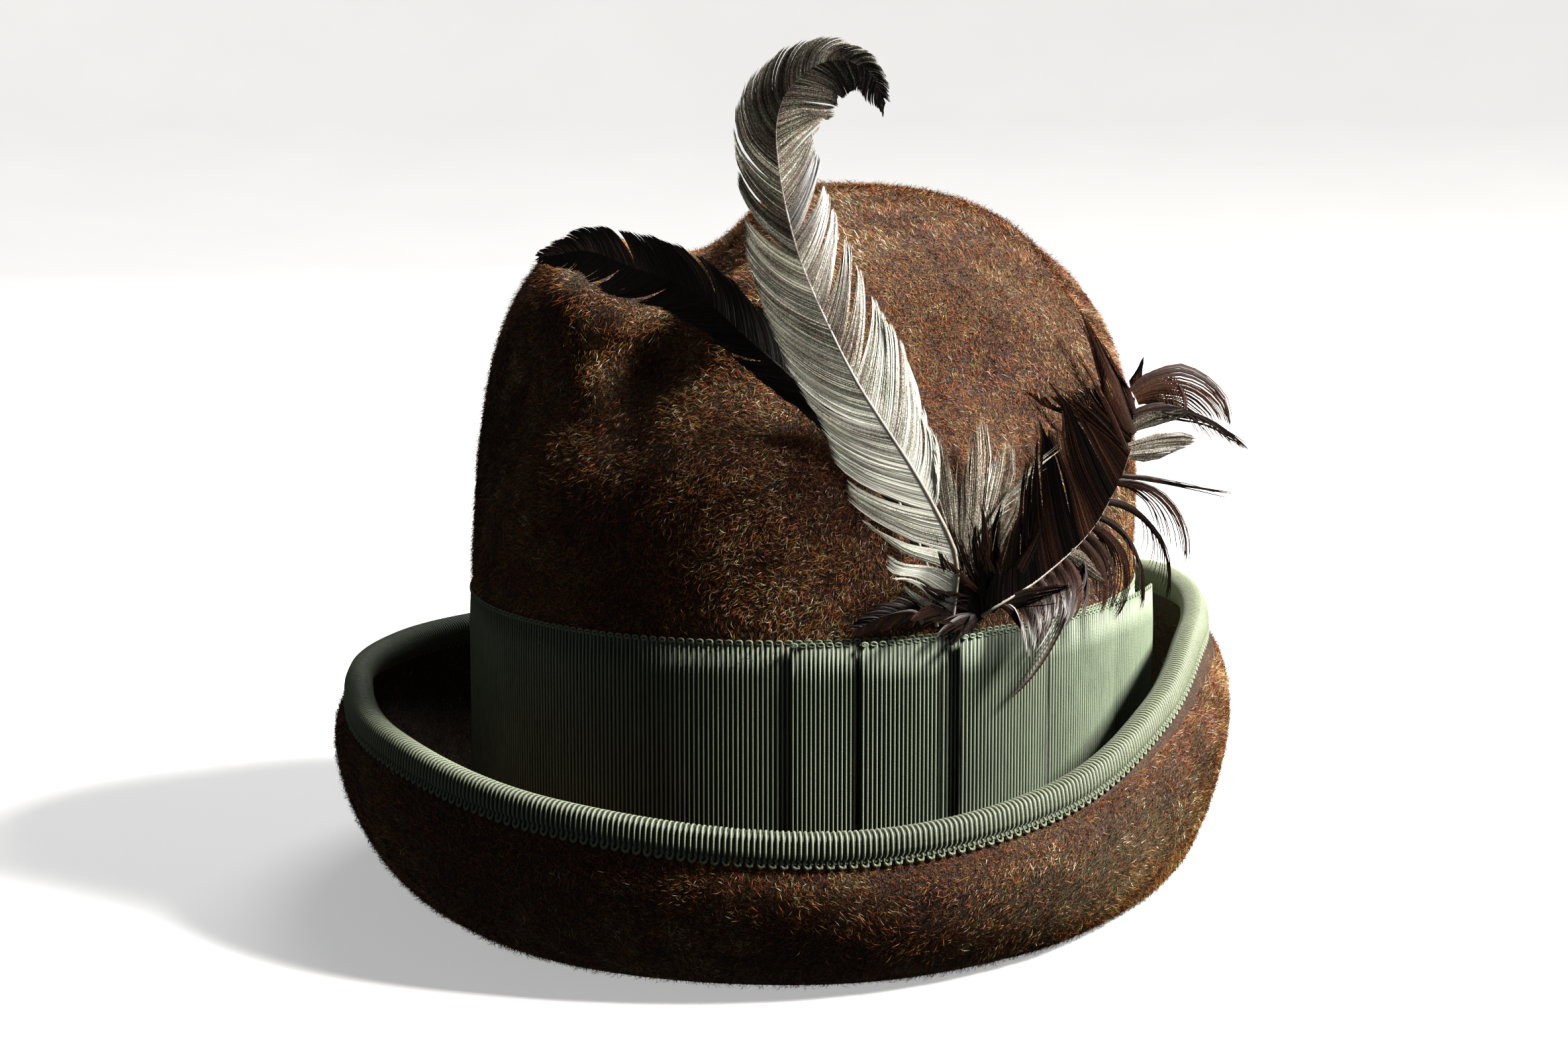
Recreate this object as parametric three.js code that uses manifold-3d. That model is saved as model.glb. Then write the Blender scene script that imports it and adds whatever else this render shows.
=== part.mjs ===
// A tyrolean hat: a tall creased crown and a turned-up brim in one piece of velour felt, with a
// ribbed ribbon and flat bow, a bound edge and a spray of feathers on the wearer's left front.
// Millimetres, +Z up, the front along -Y and the wearer's left along +X. The brim's underside
// rests on z = 0. The sizes are measured from the head opening's axis, and at the end the whole hat
// is moved so that the origin lies under the middle of its box.
import * as THREE from 'three';
import { mergeVertices } from 'three/addons/utils/BufferGeometryUtils.js';
import Module from 'manifold-3d';

const wasm = await Module();
wasm.setup();

// ---- driving dimensions --------------------------------------------------------------------
const FELT = 2.2;                 // thickness of the felt wall
const HEAD_HALF_WIDTH = 79.5;     // the wall's middle surface at the hat band, side to side
const HEAD_HALF_LENGTH = 95.5;    // and front to back
const BREAK_HEIGHT = 15;          // where the crown turns out into the brim
const SHOULDER_HEIGHT = 80;       // where the crown starts to round in
const CROWN_HEIGHT = 169;         // the dome's highest point
const CROWN_LEAN = 5;             // how far the dome's top leans to the wearer's left
const TURN_OUT = 6;               // the wall starts to turn out this far above the break
const FOOT_SHARE = 0.3;           // the bend under the break: its share of the way out to the rest
const FOOT_HEIGHT = 5;            // and its height
const REST_INNER = 4;             // the flat where the brim rests starts this far outside the wall
const BELLY_SHARE = 0.62;         // the brim's belly: its share of the way from the rest to the widest line
const BELLY_RISE = 0.4;           // and its share of that line's height
const BAND_BOTTOM = 21;           // the hat band's lower edge
const BAND_TOP = 73;              // and its upper edge
const RIBBON = 0.9;               // thickness of the ribbon
const GAP = 0.3;                  // between pieces that lie on each other
const TURNS = 56;                 // stations round the hat
const CROWN_RINGS = 13;           // rings from the apex to the shoulder
const WALL_RINGS = 2;             // rings down the straight wall behind the hat band

// The brim, a row for each turn from the front towards the wearer's left (degrees): how far from
// the axis the flat that it rests on ends, and how far out and how high its widest line and rim are.
const BRIM = [
  { turn: -180, restOut: 110, wideOut: 130, wideUp: 40, rimOut: 126, rimUp: 54 },
  { turn: -135, restOut: 101, wideOut: 121, wideUp: 38, rimOut: 117, rimUp: 49 },
  { turn: -90, restOut: 92, wideOut: 115, wideUp: 39, rimOut: 109, rimUp: 51 },
  { turn: -60, restOut: 94, wideOut: 118, wideUp: 38, rimOut: 112, rimUp: 52 },
  { turn: -35, restOut: 102, wideOut: 127, wideUp: 34, rimOut: 123, rimUp: 48 },
  { turn: -10, restOut: 112, wideOut: 134, wideUp: 27, rimOut: 131, rimUp: 41 },
  { turn: 18, restOut: 113, wideOut: 133, wideUp: 24, rimOut: 130, rimUp: 36.5 },
  { turn: 40, restOut: 103, wideOut: 124, wideUp: 28, rimOut: 120, rimUp: 41 },
  { turn: 65, restOut: 92, wideOut: 110, wideUp: 36, rimOut: 104, rimUp: 53 },
  { turn: 90, restOut: 90, wideOut: 105, wideUp: 44, rimOut: 96, rimUp: 63 },
  { turn: 130, restOut: 99, wideOut: 111, wideUp: 45, rimOut: 103, rimUp: 67 },
  { turn: 155, restOut: 107, wideOut: 124, wideUp: 43, rimOut: 118, rimUp: 61 },
];

// How square the crown's shoulder is: 2 is an ellipse, more is squarer.
const SHOULDER = [
  { turn: -165, square: 2.8 },
  { turn: -75, square: 3.5 },
  { turn: 15, square: 2.8 },
  { turn: 100, square: 2.5 },
];

// The flat bow's folds from front to side, each a stretch of ribbon that lies over what is behind
// it: its turns, and how far its two edges lie off the hat band.
const BOW = [
  { name: 'bow_fold_1', from: 12.5, to: 21.2, liftFrom: 0.3, liftTo: 0.3 },
  { name: 'bow_fold_2', from: 21.7, to: 33.4, liftFrom: 1.6, liftTo: 0.6 },
  { name: 'bow_fold_3', from: 36.4, to: 53.6, liftFrom: 1.8, liftTo: 0.8 },
  { name: 'bow_fold_4', from: 54.2, to: 76.0, liftFrom: 0.9, liftTo: 0.5 },
  { name: 'bow_fold_5', from: 76.6, to: 96.5, liftFrom: 0.6, liftTo: 3.6 },
];

// Dents in the crown. Each is a valley along a few points on its surface: turn round the hat,
// drop from the apex (0) to the shoulder (90), depth and half-width there.
const DENTS = [
  [ // the crease, from the back of the top over the front edge and into the front hollow
    { turn: -140, drop: 46, depth: 7, width: 28 },
    { turn: -95, drop: 17, depth: 18, width: 31 },
    { turn: -43, drop: 19, depth: 21, width: 31 },
    { turn: -18, drop: 33, depth: 16, width: 30 },
    { turn: -18, drop: 52, depth: 8, width: 26 },
  ],
  [ // the hollow pinched into the wearer's right front, and its tail towards the side
    { turn: 6, drop: 60, depth: 6, width: 24 },
    { turn: -16, drop: 66, depth: 11, width: 30 },
    { turn: -50, drop: 76, depth: 5, width: 22 },
  ],
  [ // the matching pinch on the wearer's left front
    { turn: 34, drop: 60, depth: 5, width: 26 },
    { turn: 60, drop: 70, depth: 4, width: 26 },
  ],
  [ // a soft furrow at the back left of the dome
    { turn: 130, drop: 30, depth: 1.5, width: 16 },
    { turn: 95, drop: 48, depth: 2.5, width: 18 },
  ],
];

// ---- helpers -------------------------------------------------------------------------------
const radians = THREE.MathUtils.degToRad;
const lerp = THREE.MathUtils.lerp;

// The direction at a turn from the front towards the wearer's left, and the point out along it.
const outward = (turn) => new THREE.Vector3(Math.sin(radians(turn)), -Math.cos(radians(turn)), 0);
const place = (turn, out, up) => outward(turn).multiplyScalar(out).setZ(up);

// A value from rows with a turn, smooth all the way round.
function around(rows, name, turn) {
  const count = rows.length;
  let next = rows.findIndex((row) => row.turn > turn);
  if (next < 0) next = count;
  const row = (i) => {
    const lap = Math.floor(i / count);
    const at = rows[i - lap * count];
    return { turn: at.turn + 360 * lap, value: at[name] };
  };
  const [a, b, c, d] = [next - 2, next - 1, next, next + 1].map(row);
  const span = c.turn - b.turn;
  const t = (turn - b.turn) / span;
  const slopeB = ((c.value - a.value) / (c.turn - a.turn)) * span;
  const slopeC = ((d.value - b.value) / (d.turn - b.turn)) * span;
  const rise = c.value - b.value;
  return b.value + t * (slopeB + t * (3 * rise - 2 * slopeB - slopeC + t * (slopeB + slopeC - 2 * rise)));
}

// The distance from the axis to an oval at a turn.
const ovalOut = (turn, grow = 0) => 1 / Math.hypot(
  Math.sin(radians(turn)) / (HEAD_HALF_WIDTH + grow), Math.cos(radians(turn)) / (HEAD_HALF_LENGTH + grow));

// The undented crown's middle surface.
function crownPoint(turn, drop) {
  const power = 2 / around(SHOULDER, 'square', turn);
  const out = ovalOut(turn) * Math.sin(radians(drop)) ** power;
  const rise = Math.max(Math.cos(radians(drop)), 0) ** power;
  const point = place(turn, out, SHOULDER_HEIGHT + (CROWN_HEIGHT - SHOULDER_HEIGHT) * rise);
  point.x += CROWN_LEAN * rise;
  return point;
}

const VALLEYS = DENTS.map((rows) => rows.map((row) => ({ at: crownPoint(row.turn, row.drop), ...row })));

// How deep the dents are at a point of the undented crown.
function dentDepth(point) {
  let total = 0;
  for (const rows of VALLEYS) {
    let deepest = 0;
    for (let i = 0; i + 1 < rows.length; i += 1) {
      const along = rows[i + 1].at.clone().sub(rows[i].at);
      const t = THREE.MathUtils.clamp(point.clone().sub(rows[i].at).dot(along) / along.lengthSq(), 0, 1);
      const away = point.distanceTo(rows[i].at.clone().addScaledVector(along, t));
      const near = Math.max(0, 1 - (away / lerp(rows[i].width, rows[i + 1].width, t)) ** 2);
      deepest = Math.max(deepest, lerp(rows[i].depth, rows[i + 1].depth, t) * near * near);
    }
    total += deepest;
  }
  return total;
}

// A closed mesh from rings of points that follow each other round a loop, each ring closed. With
// both ends capped, the first and last entries are single points instead of rings.
function ringMesh(rings, { capped }) {
  const points = [];
  const starts = rings.map((ring) => {
    points.push(...ring);
    return points.length - ring.length;
  });
  const faces = [];
  const join = (lower, upper) => {
    const count = Math.max(rings[lower].length, rings[upper].length);
    for (let i = 0; i < count; i += 1) {
      const j = (i + 1) % count;
      const [a, b] = [starts[lower] + (rings[lower].length > 1 ? i : 0), starts[lower] + j];
      const [c, d] = [starts[upper] + (rings[upper].length > 1 ? i : 0), starts[upper] + j];
      if (rings[lower].length > 1) faces.push(a, c, b);
      if (rings[upper].length > 1) faces.push(rings[lower].length > 1 ? b : a, c, d);
    }
  };
  for (let i = 0; i + 1 < rings.length; i += 1) join(i, i + 1);
  if (!capped) join(rings.length - 1, 0);
  const geometry = new THREE.BufferGeometry();
  geometry.setAttribute('position', new THREE.Float32BufferAttribute(points.flatMap((p) => p.toArray()), 3));
  geometry.setIndex(faces);
  return geometry;
}

const group = new THREE.Group();
function add(name, geometry, material) {
  geometry.computeVertexNormals();
  const mesh = new THREE.Mesh(geometry, material);
  mesh.name = name;
  group.add(mesh);
}

const felt = new THREE.MeshStandardMaterial({ color: 0x4a3a1e, roughness: 0.95, metalness: 0 });
const ribbon = new THREE.MeshStandardMaterial({ color: 0x4a6a50, roughness: 0.8, metalness: 0 });
const plume = new THREE.MeshStandardMaterial({ color: 0x5a5248, roughness: 0.5, metalness: 0 });
const darkPlume = new THREE.MeshStandardMaterial({ color: 0x2a1a14, roughness: 0.45, metalness: 0 });

// ---- felt body -----------------------------------------------------------------------------
const turns = Array.from({ length: TURNS }, (_, i) => -180 + (i * 360) / TURNS);

// The brim's middle surface at a turn, from the break out to the rim, as a curve.
function brimCurve(turn) {
  const wall = ovalOut(turn);
  const middle = FELT / 2;
  const get = (name) => around(BRIM, name, turn);
  const rows = [
    { out: wall, up: BREAK_HEIGHT + TURN_OUT },
    { out: wall, up: BREAK_HEIGHT },
    { out: wall + FOOT_SHARE * REST_INNER, up: FOOT_HEIGHT },
    { out: wall + REST_INNER, up: middle },
    { out: get('restOut'), up: middle },
    { out: lerp(get('restOut'), get('wideOut'), BELLY_SHARE), up: BELLY_RISE * get('wideUp') },
    { out: get('wideOut') - middle, up: get('wideUp') },
    { out: get('rimOut'), up: get('rimUp') },
  ];
  return new THREE.CatmullRomCurve3(rows.map((row) => place(turn, row.out, row.up)), false, 'centripetal');
}

// The middle surface at a turn, from just below the apex to the rim. The last three of the brim's
// stops, counted in the curve's own points, are the binding's edge, its middle and the rim, and
// stops 3 and 4 are the ends of the flat that it rests on.
const BRIM_STOPS = [0, 1, 2, 3, 4, 4.5, 5, 5.5, 6, 6.5, 6.78, 7];
function sectionAt(turn) {
  const points = [];
  for (let i = 1; i <= CROWN_RINGS; i += 1) points.push(crownPoint(turn, (90 * i) / CROWN_RINGS));
  const wall = ovalOut(turn);
  for (let i = 1; i < WALL_RINGS; i += 1) {
    points.push(place(turn, wall, lerp(SHOULDER_HEIGHT, BREAK_HEIGHT + TURN_OUT, i / WALL_RINGS)));
  }
  const curve = brimCurve(turn);
  for (const stop of BRIM_STOPS) points.push(curve.getPoint(stop / BRIM_STOPS.at(-1)));
  return points;
}

// The felt's middle surface: its top, a section for each station and the outward normals there.
// Outward is above the crown and inside the brim's curl.
function feltSurface() {
  const apex = crownPoint(0, 0);
  const normalsOf = (grid, top) => grid.map((section, i) => section.map((point, j) => {
    const round = grid[(i + 1) % TURNS][j].clone().sub(grid[(i + TURNS - 1) % TURNS][j]);
    const before = j > 0 ? section[j - 1] : top;
    const after = section[Math.min(j + 1, section.length - 1)];
    return after.clone().sub(before).cross(round).normalize();
  }));
  const plain = turns.map(sectionAt);
  const plainNormals = normalsOf(plain, apex);
  const top = apex.clone().setZ(apex.z - dentDepth(apex));
  const middle = plain.map((section, i) => section.map(
    (point, j) => point.clone().addScaledVector(plainNormals[i][j], -dentDepth(point))));
  return { top, middle, normals: normalsOf(middle, top) };
}
const surface = feltSurface();

// A ring of points on the felt's middle surface, lifted off it. Its underside is flat on the table
// between the two rings at the ends of the rest, and reaches no lower anywhere.
const REST_RING = CROWN_RINGS + WALL_RINGS - 1 + BRIM_STOPS.indexOf(3);
function feltRing(j, lift) {
  const rests = lift < 0 && (j === REST_RING || j === REST_RING + 1);
  return surface.middle.map((section, i) => {
    const point = section[j].clone().addScaledVector(surface.normals[i][j], lift);
    return point.setZ(rests ? 0 : Math.max(point.z, 0));
  });
}

function feltBody() {
  const ringNumbers = surface.middle[0].map((_, j) => j);
  const top = (lift) => [surface.top.clone().setZ(surface.top.z + lift)];
  return ringMesh([
    top(FELT / 2),
    ...ringNumbers.map((j) => feltRing(j, FELT / 2)),
    ...ringNumbers.toReversed().map((j) => feltRing(j, -FELT / 2)),
    top(-FELT / 2),
  ], { capped: true });
}
add('felt_body', feltBody(), felt);

// ---- feathers ------------------------------------------------------------------------------
// A tapering strip along a path: a closed body with a rectangular section, flat across `face`.
function strip(path, widths, thick, face) {
  const last = path.length - 1;
  const rings = path.map((point, i) => {
    const along = path[Math.min(i + 1, last)].clone().sub(path[Math.max(i - 1, 0)]).normalize();
    const across = face.clone().cross(along).normalize().multiplyScalar(widths[i] / 2);
    const through = along.clone().cross(across).normalize().multiplyScalar(thick[i] / 2);
    return [[1, 1], [1, -1], [-1, -1], [-1, 1]].map(([side, front]) => point.clone()
      .addScaledVector(across, side).addScaledVector(through, front));
  });
  const middleOf = (ring) => [ring[0].clone().add(ring[2]).multiplyScalar(0.5)];
  return ringMesh([middleOf(rings[0]), ...rings, middleOf(rings[last])], { capped: true });
}

const solidOf = (geometry) => new wasm.Manifold(new wasm.Mesh({
  numProp: 3,
  vertProperties: Float32Array.from(geometry.attributes.position.array),
  triVerts: Uint32Array.from(geometry.index.array),
}));

function geometryOf(solid) {
  const { vertProperties, triVerts } = solid.getMesh();
  const geometry = new THREE.BufferGeometry();
  geometry.setAttribute('position', new THREE.BufferAttribute(vertProperties, 3));
  geometry.setIndex(new THREE.BufferAttribute(triVerts, 1));
  return geometry;
}

// A feather's shaft follows its rows, where `face` is the turn that the feather faces. A place along
// it is counted in rows. The frame there has the point, the way along, the left and the face.
function shaftOf(rows) {
  const last = rows.length - 1;
  const points = rows.map((row) => place(row.turn, row.out, row.up));
  const curve = new THREE.CatmullRomCurve3(points, false, 'centripetal');
  const valueAt = (name, at) => {
    const row = Math.min(Math.floor(at), last - 1);
    return lerp(rows[row][name], rows[row + 1][name], at - row);
  };
  const frameAt = (at) => {
    const face = outward(valueAt('face', at));
    const along = curve.getTangent(at / last).projectOnPlane(face).normalize();
    return { point: curve.getPoint(at / last), along, left: face.clone().cross(along), face };
  };
  return { last, valueAt, frameAt };
}

// A feather with whole vanes: a blade as wide as its rows say, its edges swept towards the tip at
// the barbs' angle and notched into locks, with a ridge down the middle for the shaft.
const BLADE_EDGE = 0.5;           // thickness of the vane at its edge
const BLADE_TAPER = 0.5;          // how much of the shaft's thickness is lost by its tip
const NOTCH = 0.62;               // how much of the vane's width is left between two locks
const NOTCH_SWEEP = 0.3;          // how far a notch is swept, for each millimetre of its width
function bladeFeather({ rows, shaft, steps, angle }) {
  const { last, valueAt, frameAt } = shaftOf(rows);
  const rings = [];
  for (let i = 0; i <= steps; i += 1) {
    const at = (last * i) / steps;
    const { point, along, left, face } = frameAt(at);
    const thick = shaft * (1 - (BLADE_TAPER * at) / last);
    const edge = (side, way) => {
      const notched = i % 2 === 1;
      const reach = Math.max(valueAt(side, at) * (notched ? NOTCH : 1), thick / 2);
      const sweep = notched ? reach * NOTCH_SWEEP : reach / Math.tan(radians(angle));
      return point.clone().addScaledVector(left, way * reach)
        .addScaledVector(along, reach > thick ? sweep : 0);
    };
    const raise = (at3, lift) => at3.clone().addScaledVector(face, lift / 2);
    const [leftEdge, rightEdge] = [edge('left', 1), edge('right', -1)];
    rings.push([
      raise(leftEdge, BLADE_EDGE), raise(leftEdge, -BLADE_EDGE), raise(point, -thick),
      raise(rightEdge, -BLADE_EDGE), raise(rightEdge, BLADE_EDGE), raise(point, thick),
    ]);
  }
  const foot = frameAt(0).point;
  const tip = frameAt(last);
  rings.unshift([foot]);
  rings.push([tip.point.addScaledVector(tip.along, shaft)]);
  return ringMesh(rings, { capped: true });
}

// A feather with loose barbs: each lock leaves the shaft `at` a place, at an angle to it (more than
// 0 is to the left), bends by `curl`, comes forward by `lift` at its tip and tapers.
const SHAFT_STEPS = 10;
const LOCK_STEPS = 3;
const LOCK_THICK = 0.7;           // thickness of a lock where it leaves the shaft
const LOCK_TAPER = { wide: 0.75, thick: 0.3 };   // how much of a lock's size is lost by its tip
const SHAFT_TAPER = { wide: 0.6, thick: 0.4 };   // and of a loose feather's shaft
function lockFeather({ rows, shaft, locks }) {
  const { last, frameAt } = shaftOf(rows);
  const shares = Array.from({ length: SHAFT_STEPS + 1 }, (_, i) => i / SHAFT_STEPS);
  const solids = [strip(
    shares.map((share) => frameAt(share * last).point),
    shares.map((share) => shaft * (1 - SHAFT_TAPER.wide * share)),
    shares.map((share) => shaft * (1 - SHAFT_TAPER.thick * share)),
    frameAt(last / 2).face,
  )];
  for (const { at, angle, length, curl, width, lift } of locks) {
    const { point, along, left, face } = frameAt(at);
    const path = [point];
    for (let i = 0; i < LOCK_STEPS; i += 1) {
      const heading = radians(angle + (curl * (i + 0.5)) / LOCK_STEPS);
      const step = along.clone().multiplyScalar(Math.cos(heading)).addScaledVector(left, Math.sin(heading));
      const forward = lift * (((i + 1) / LOCK_STEPS) ** 2 - (i / LOCK_STEPS) ** 2);
      path.push(path[i].clone().addScaledVector(step, length / LOCK_STEPS).addScaledVector(face, forward));
    }
    const stations = path.map((_, i) => i / LOCK_STEPS);
    const widths = stations.map((t) => width * (1 - LOCK_TAPER.wide * t ** 2));
    const thick = stations.map((t) => LOCK_THICK * (1 - LOCK_TAPER.thick * t));
    solids.push(strip(path, widths, thick, face));
  }
  return geometryOf(solids.map(solidOf).reduce((joined, solid) => joined.add(solid)));
}

const LONG_ROWS = [
  { turn: 35.5, out: 91.4, up: 75, face: 32, left: 0, right: 0 },
  { turn: 34.5, out: 98, up: 91, face: 22, left: 4, right: 0 },
  { turn: 31, out: 100, up: 103, face: 22, left: 13, right: 2 },
  { turn: 28, out: 100, up: 112, face: 21, left: 16, right: 6 },
  { turn: 25, out: 100, up: 120, face: 20, left: 15, right: 10 },
  { turn: 21, out: 99, up: 131, face: 20, left: 13, right: 14 },
  { turn: 17.5, out: 96, up: 143, face: 18, left: 11.5, right: 12 },
  { turn: 14, out: 90, up: 156, face: 17, left: 10.5, right: 11 },
  { turn: 11.5, out: 83, up: 168, face: 16, left: 9, right: 10 },
  { turn: 10, out: 78, up: 178, face: 16, left: 9, right: 8.5 },
  { turn: 9.5, out: 75, up: 186, face: 16, left: 9, right: 8.5 },
  { turn: 11, out: 73, up: 193, face: 16, left: 8, right: 9 },
  { turn: 16, out: 71, up: 199, face: 17, left: 5, right: 9 },
  { turn: 20.5, out: 70.5, up: 200.5, face: 18, left: 4, right: 8 },
  { turn: 26, out: 71, up: 198, face: 20, left: 3, right: 4 },
  { turn: 29, out: 71, up: 191, face: 20, left: 1, right: 1 },
];
const DARK_ROWS = [
  { turn: 33.2, out: 91.9, up: 75, face: 33, left: 0, right: 0 },
  { turn: 31, out: 94.5, up: 90, face: 31, left: 1, right: 1 },
  { turn: 24, out: 95, up: 112, face: 24, left: 3.5, right: 3.5 },
  { turn: 15, out: 93, up: 128, face: 15, left: 5, right: 5 },
  { turn: 6, out: 88, up: 140, face: 6, left: 5, right: 6 },
  { turn: -3, out: 82, up: 149, face: -3, left: 5.5, right: 7 },
  { turn: -16, out: 77, up: 154, face: -10, left: 6.5, right: 6 },
  { turn: -29, out: 74, up: 157, face: -14, left: 3.5, right: 3 },
  { turn: -35, out: 74, up: 156, face: -16, left: 1, right: 1 },
];
const CURLY_ROWS = [
  { turn: 39, out: 90.4, up: 75, face: 38 },
  { turn: 41, out: 95, up: 79, face: 34 },
  { turn: 46, out: 95.5, up: 83, face: 32 },
  { turn: 51, out: 94, up: 86.5, face: 30 },
  { turn: 57, out: 92.5, up: 91, face: 30 },
  { turn: 62, out: 91, up: 95, face: 30 },
  { turn: 67, out: 89.5, up: 100, face: 30 },
  { turn: 72, out: 88, up: 104.5, face: 30 },
  { turn: 76, out: 87, up: 109, face: 30 },
  { turn: 79, out: 86, up: 115, face: 30 },
  { turn: 82, out: 85, up: 124, face: 30 },
];
const CURLY_LOCKS = [
  { at: 1.5, angle: 92, length: 14, curl: -20, width: 5, lift: 5 },
  { at: 2.2, angle: 98, length: 22, curl: -25, width: 6, lift: 6 },
  { at: 3.0, angle: 90, length: 29, curl: -20, width: 7, lift: 8 },
  { at: 3.8, angle: 80, length: 38, curl: -10, width: 8, lift: 10 },
  { at: 4.6, angle: 76, length: 42, curl: -8, width: 8, lift: 11 },
  { at: 5.6, angle: 70, length: 41, curl: -8, width: 7, lift: 11 },
  { at: 6.6, angle: 66, length: 37, curl: -14, width: 6, lift: 10 },
  { at: 7.6, angle: 60, length: 30, curl: -4, width: 5, lift: 8 },
  { at: 8.8, angle: 42, length: 19, curl: -8, width: 4, lift: 6 },
  { at: 9.8, angle: -62, length: 33, curl: -80, width: 6, lift: 0 },
  { at: 9.3, angle: -60, length: 32, curl: -60, width: 4, lift: 0 },
  { at: 7.2, angle: -22, length: 18, curl: -6, width: 4, lift: 1 },
  { at: 7.0, angle: -60, length: 31, curl: -2, width: 1.6, lift: 2 },
  { at: 6.4, angle: -56, length: 28, curl: -95, width: 3, lift: 0 },
  { at: 5.4, angle: -54, length: 32, curl: -100, width: 3.5, lift: -3 },
  { at: 4.8, angle: -66, length: 26, curl: -90, width: 3.5, lift: -2 },
  { at: 4.2, angle: -70, length: 20, curl: -60, width: 3.5, lift: 1 },
  { at: 3.6, angle: -75, length: 15, curl: -60, width: 4, lift: 3 },
  { at: 3.0, angle: -80, length: 12, curl: -60, width: 4, lift: 4 },
  { at: 3.9, angle: -120, length: 40, curl: -60, width: 2.5, lift: 10 },
];
const SPLAYED_ROWS = [
  { turn: 37.2, out: 90.8, up: 75, face: 37 },
  { turn: 36.5, out: 94.5, up: 86, face: 28 },
  { turn: 36, out: 96, up: 95, face: 25 },
];
const SPLAYED_LOCKS = [
  { at: 1.2, angle: -8, length: 37, curl: 4, width: 5, lift: -3 },
  { at: 1.1, angle: -14, length: 38, curl: -4, width: 5, lift: -4 },
  { at: 1.0, angle: -22, length: 33, curl: -6, width: 8, lift: -4 },
  { at: 0.8, angle: -34, length: 24, curl: -6, width: 3, lift: -2 },
];
const STUB_ROWS = [
  { turn: 31, out: 92.4, up: 76, face: 30, left: 0, right: 0 },
  { turn: 29, out: 96, up: 79.5, face: 28, left: 3, right: 2 },
  { turn: 25, out: 97, up: 79, face: 26, left: 3, right: 2.5 },
  { turn: 21, out: 97, up: 76, face: 24, left: 1, right: 1 },
];

add('long_feather', bladeFeather({ rows: LONG_ROWS, shaft: 1.8, steps: 36, angle: 40 }), plume);
add('dark_feather', bladeFeather({ rows: DARK_ROWS, shaft: 1.5, steps: 26, angle: 30 }), darkPlume);
add('curly_feather', lockFeather({ rows: CURLY_ROWS, shaft: 1.8, locks: CURLY_LOCKS }), darkPlume);
add('splayed_feather', lockFeather({ rows: SPLAYED_ROWS, shaft: 1.5, locks: SPLAYED_LOCKS }), plume);
add('feather_stub', bladeFeather({ rows: STUB_ROWS, shaft: 1.4, steps: 8, angle: 30 }), plume);

// ---- ribbon --------------------------------------------------------------------------------
// How far the hat band's inner face lies off the felt's middle surface, and a ring of points round
// the crown, lifted off that surface.
const BAND_LIFT = FELT / 2 + GAP;
const wallRing = (list, lift, up) => list.map((turn) => place(turn, ovalOut(turn, lift), up));

add('hat_band', ringMesh([
  wallRing(turns, BAND_LIFT + RIBBON, BAND_TOP),
  wallRing(turns, BAND_LIFT + RIBBON, BAND_BOTTOM),
  wallRing(turns, BAND_LIFT, BAND_BOTTOM),
  wallRing(turns, BAND_LIFT, BAND_TOP),
], { capped: false }), ribbon);

// One fold of the bow: a curved plate, built as a box of grid points bent round the band.
const FOLD_STEPS = 6;
const FOLD_TURN_IN = 0.6;         // how far the folds stop short of the band's edges
function bowFold({ from, to, liftFrom, liftTo }) {
  const geometry = new THREE.BoxGeometry(1, 1, 1, FOLD_STEPS, 1, 1).toNonIndexed();
  for (const name of ['normal', 'uv']) geometry.deleteAttribute(name);
  const at = geometry.attributes.position;
  for (let i = 0; i < at.count; i += 1) {
    const along = at.getX(i) + 0.5;
    const lift = BAND_LIFT + RIBBON + lerp(liftFrom, liftTo, along) + (at.getZ(i) + 0.5) * RIBBON;
    const up = at.getY(i) > 0 ? BAND_TOP - FOLD_TURN_IN : BAND_BOTTOM + FOLD_TURN_IN;
    const turn = lerp(from, to, along);
    at.setXYZ(i, ...place(turn, ovalOut(turn, lift), up).toArray());
  }
  return mergeVertices(geometry);
}
for (const fold of BOW) add(fold.name, bowFold(fold), ribbon);

// The binding: a ribbon folded over the rim, fuller at the fold than at its stitched edges.
const BINDING_FULL = 0.5;         // how much further the fold stands off
function brimBinding() {
  const rim = surface.middle[0].length - 1;
  const inner = FELT / 2 + GAP;
  const outer = inner + RIBBON;
  const onward = surface.middle.map((section) => section[rim].clone().sub(section[rim - 1]).normalize());
  const past = (ring, beyond) => ring.map((point, i) => point.addScaledVector(onward[i], beyond));
  return ringMesh([
    feltRing(rim - 2, outer),
    feltRing(rim - 1, outer + BINDING_FULL),
    past(feltRing(rim, outer), GAP),
    past(feltRing(rim, 0), GAP + RIBBON + BINDING_FULL),
    past(feltRing(rim, -outer), GAP),
    feltRing(rim - 1, -outer - BINDING_FULL),
    feltRing(rim - 2, -outer),
    feltRing(rim - 2, -inner),
    feltRing(rim - 1, -inner),
    past(feltRing(rim, -inner), GAP),
    past(feltRing(rim, inner), GAP),
    feltRing(rim - 1, inner),
    feltRing(rim - 2, inner),
  ], { capped: false });
}
add('brim_binding', brimBinding(), ribbon);

const box = new THREE.Box3().setFromObject(group);
group.position.set(-(box.min.x + box.max.x) / 2, -(box.min.y + box.max.y) / 2, 0);

export default group;
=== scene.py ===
# A tyrolean hat: velour felt with a long brushed nap, a ribbed band with a flat pleated bow, a bound
# and looped brim edge and a spray of feathers on the wearer's left front.
#
# Lengths are millimetres from the head opening's axis until a piece is made. A turn is in degrees
# from the front towards the wearer's left, `out` is the distance from the axis and `up` the height.
import math

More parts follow.
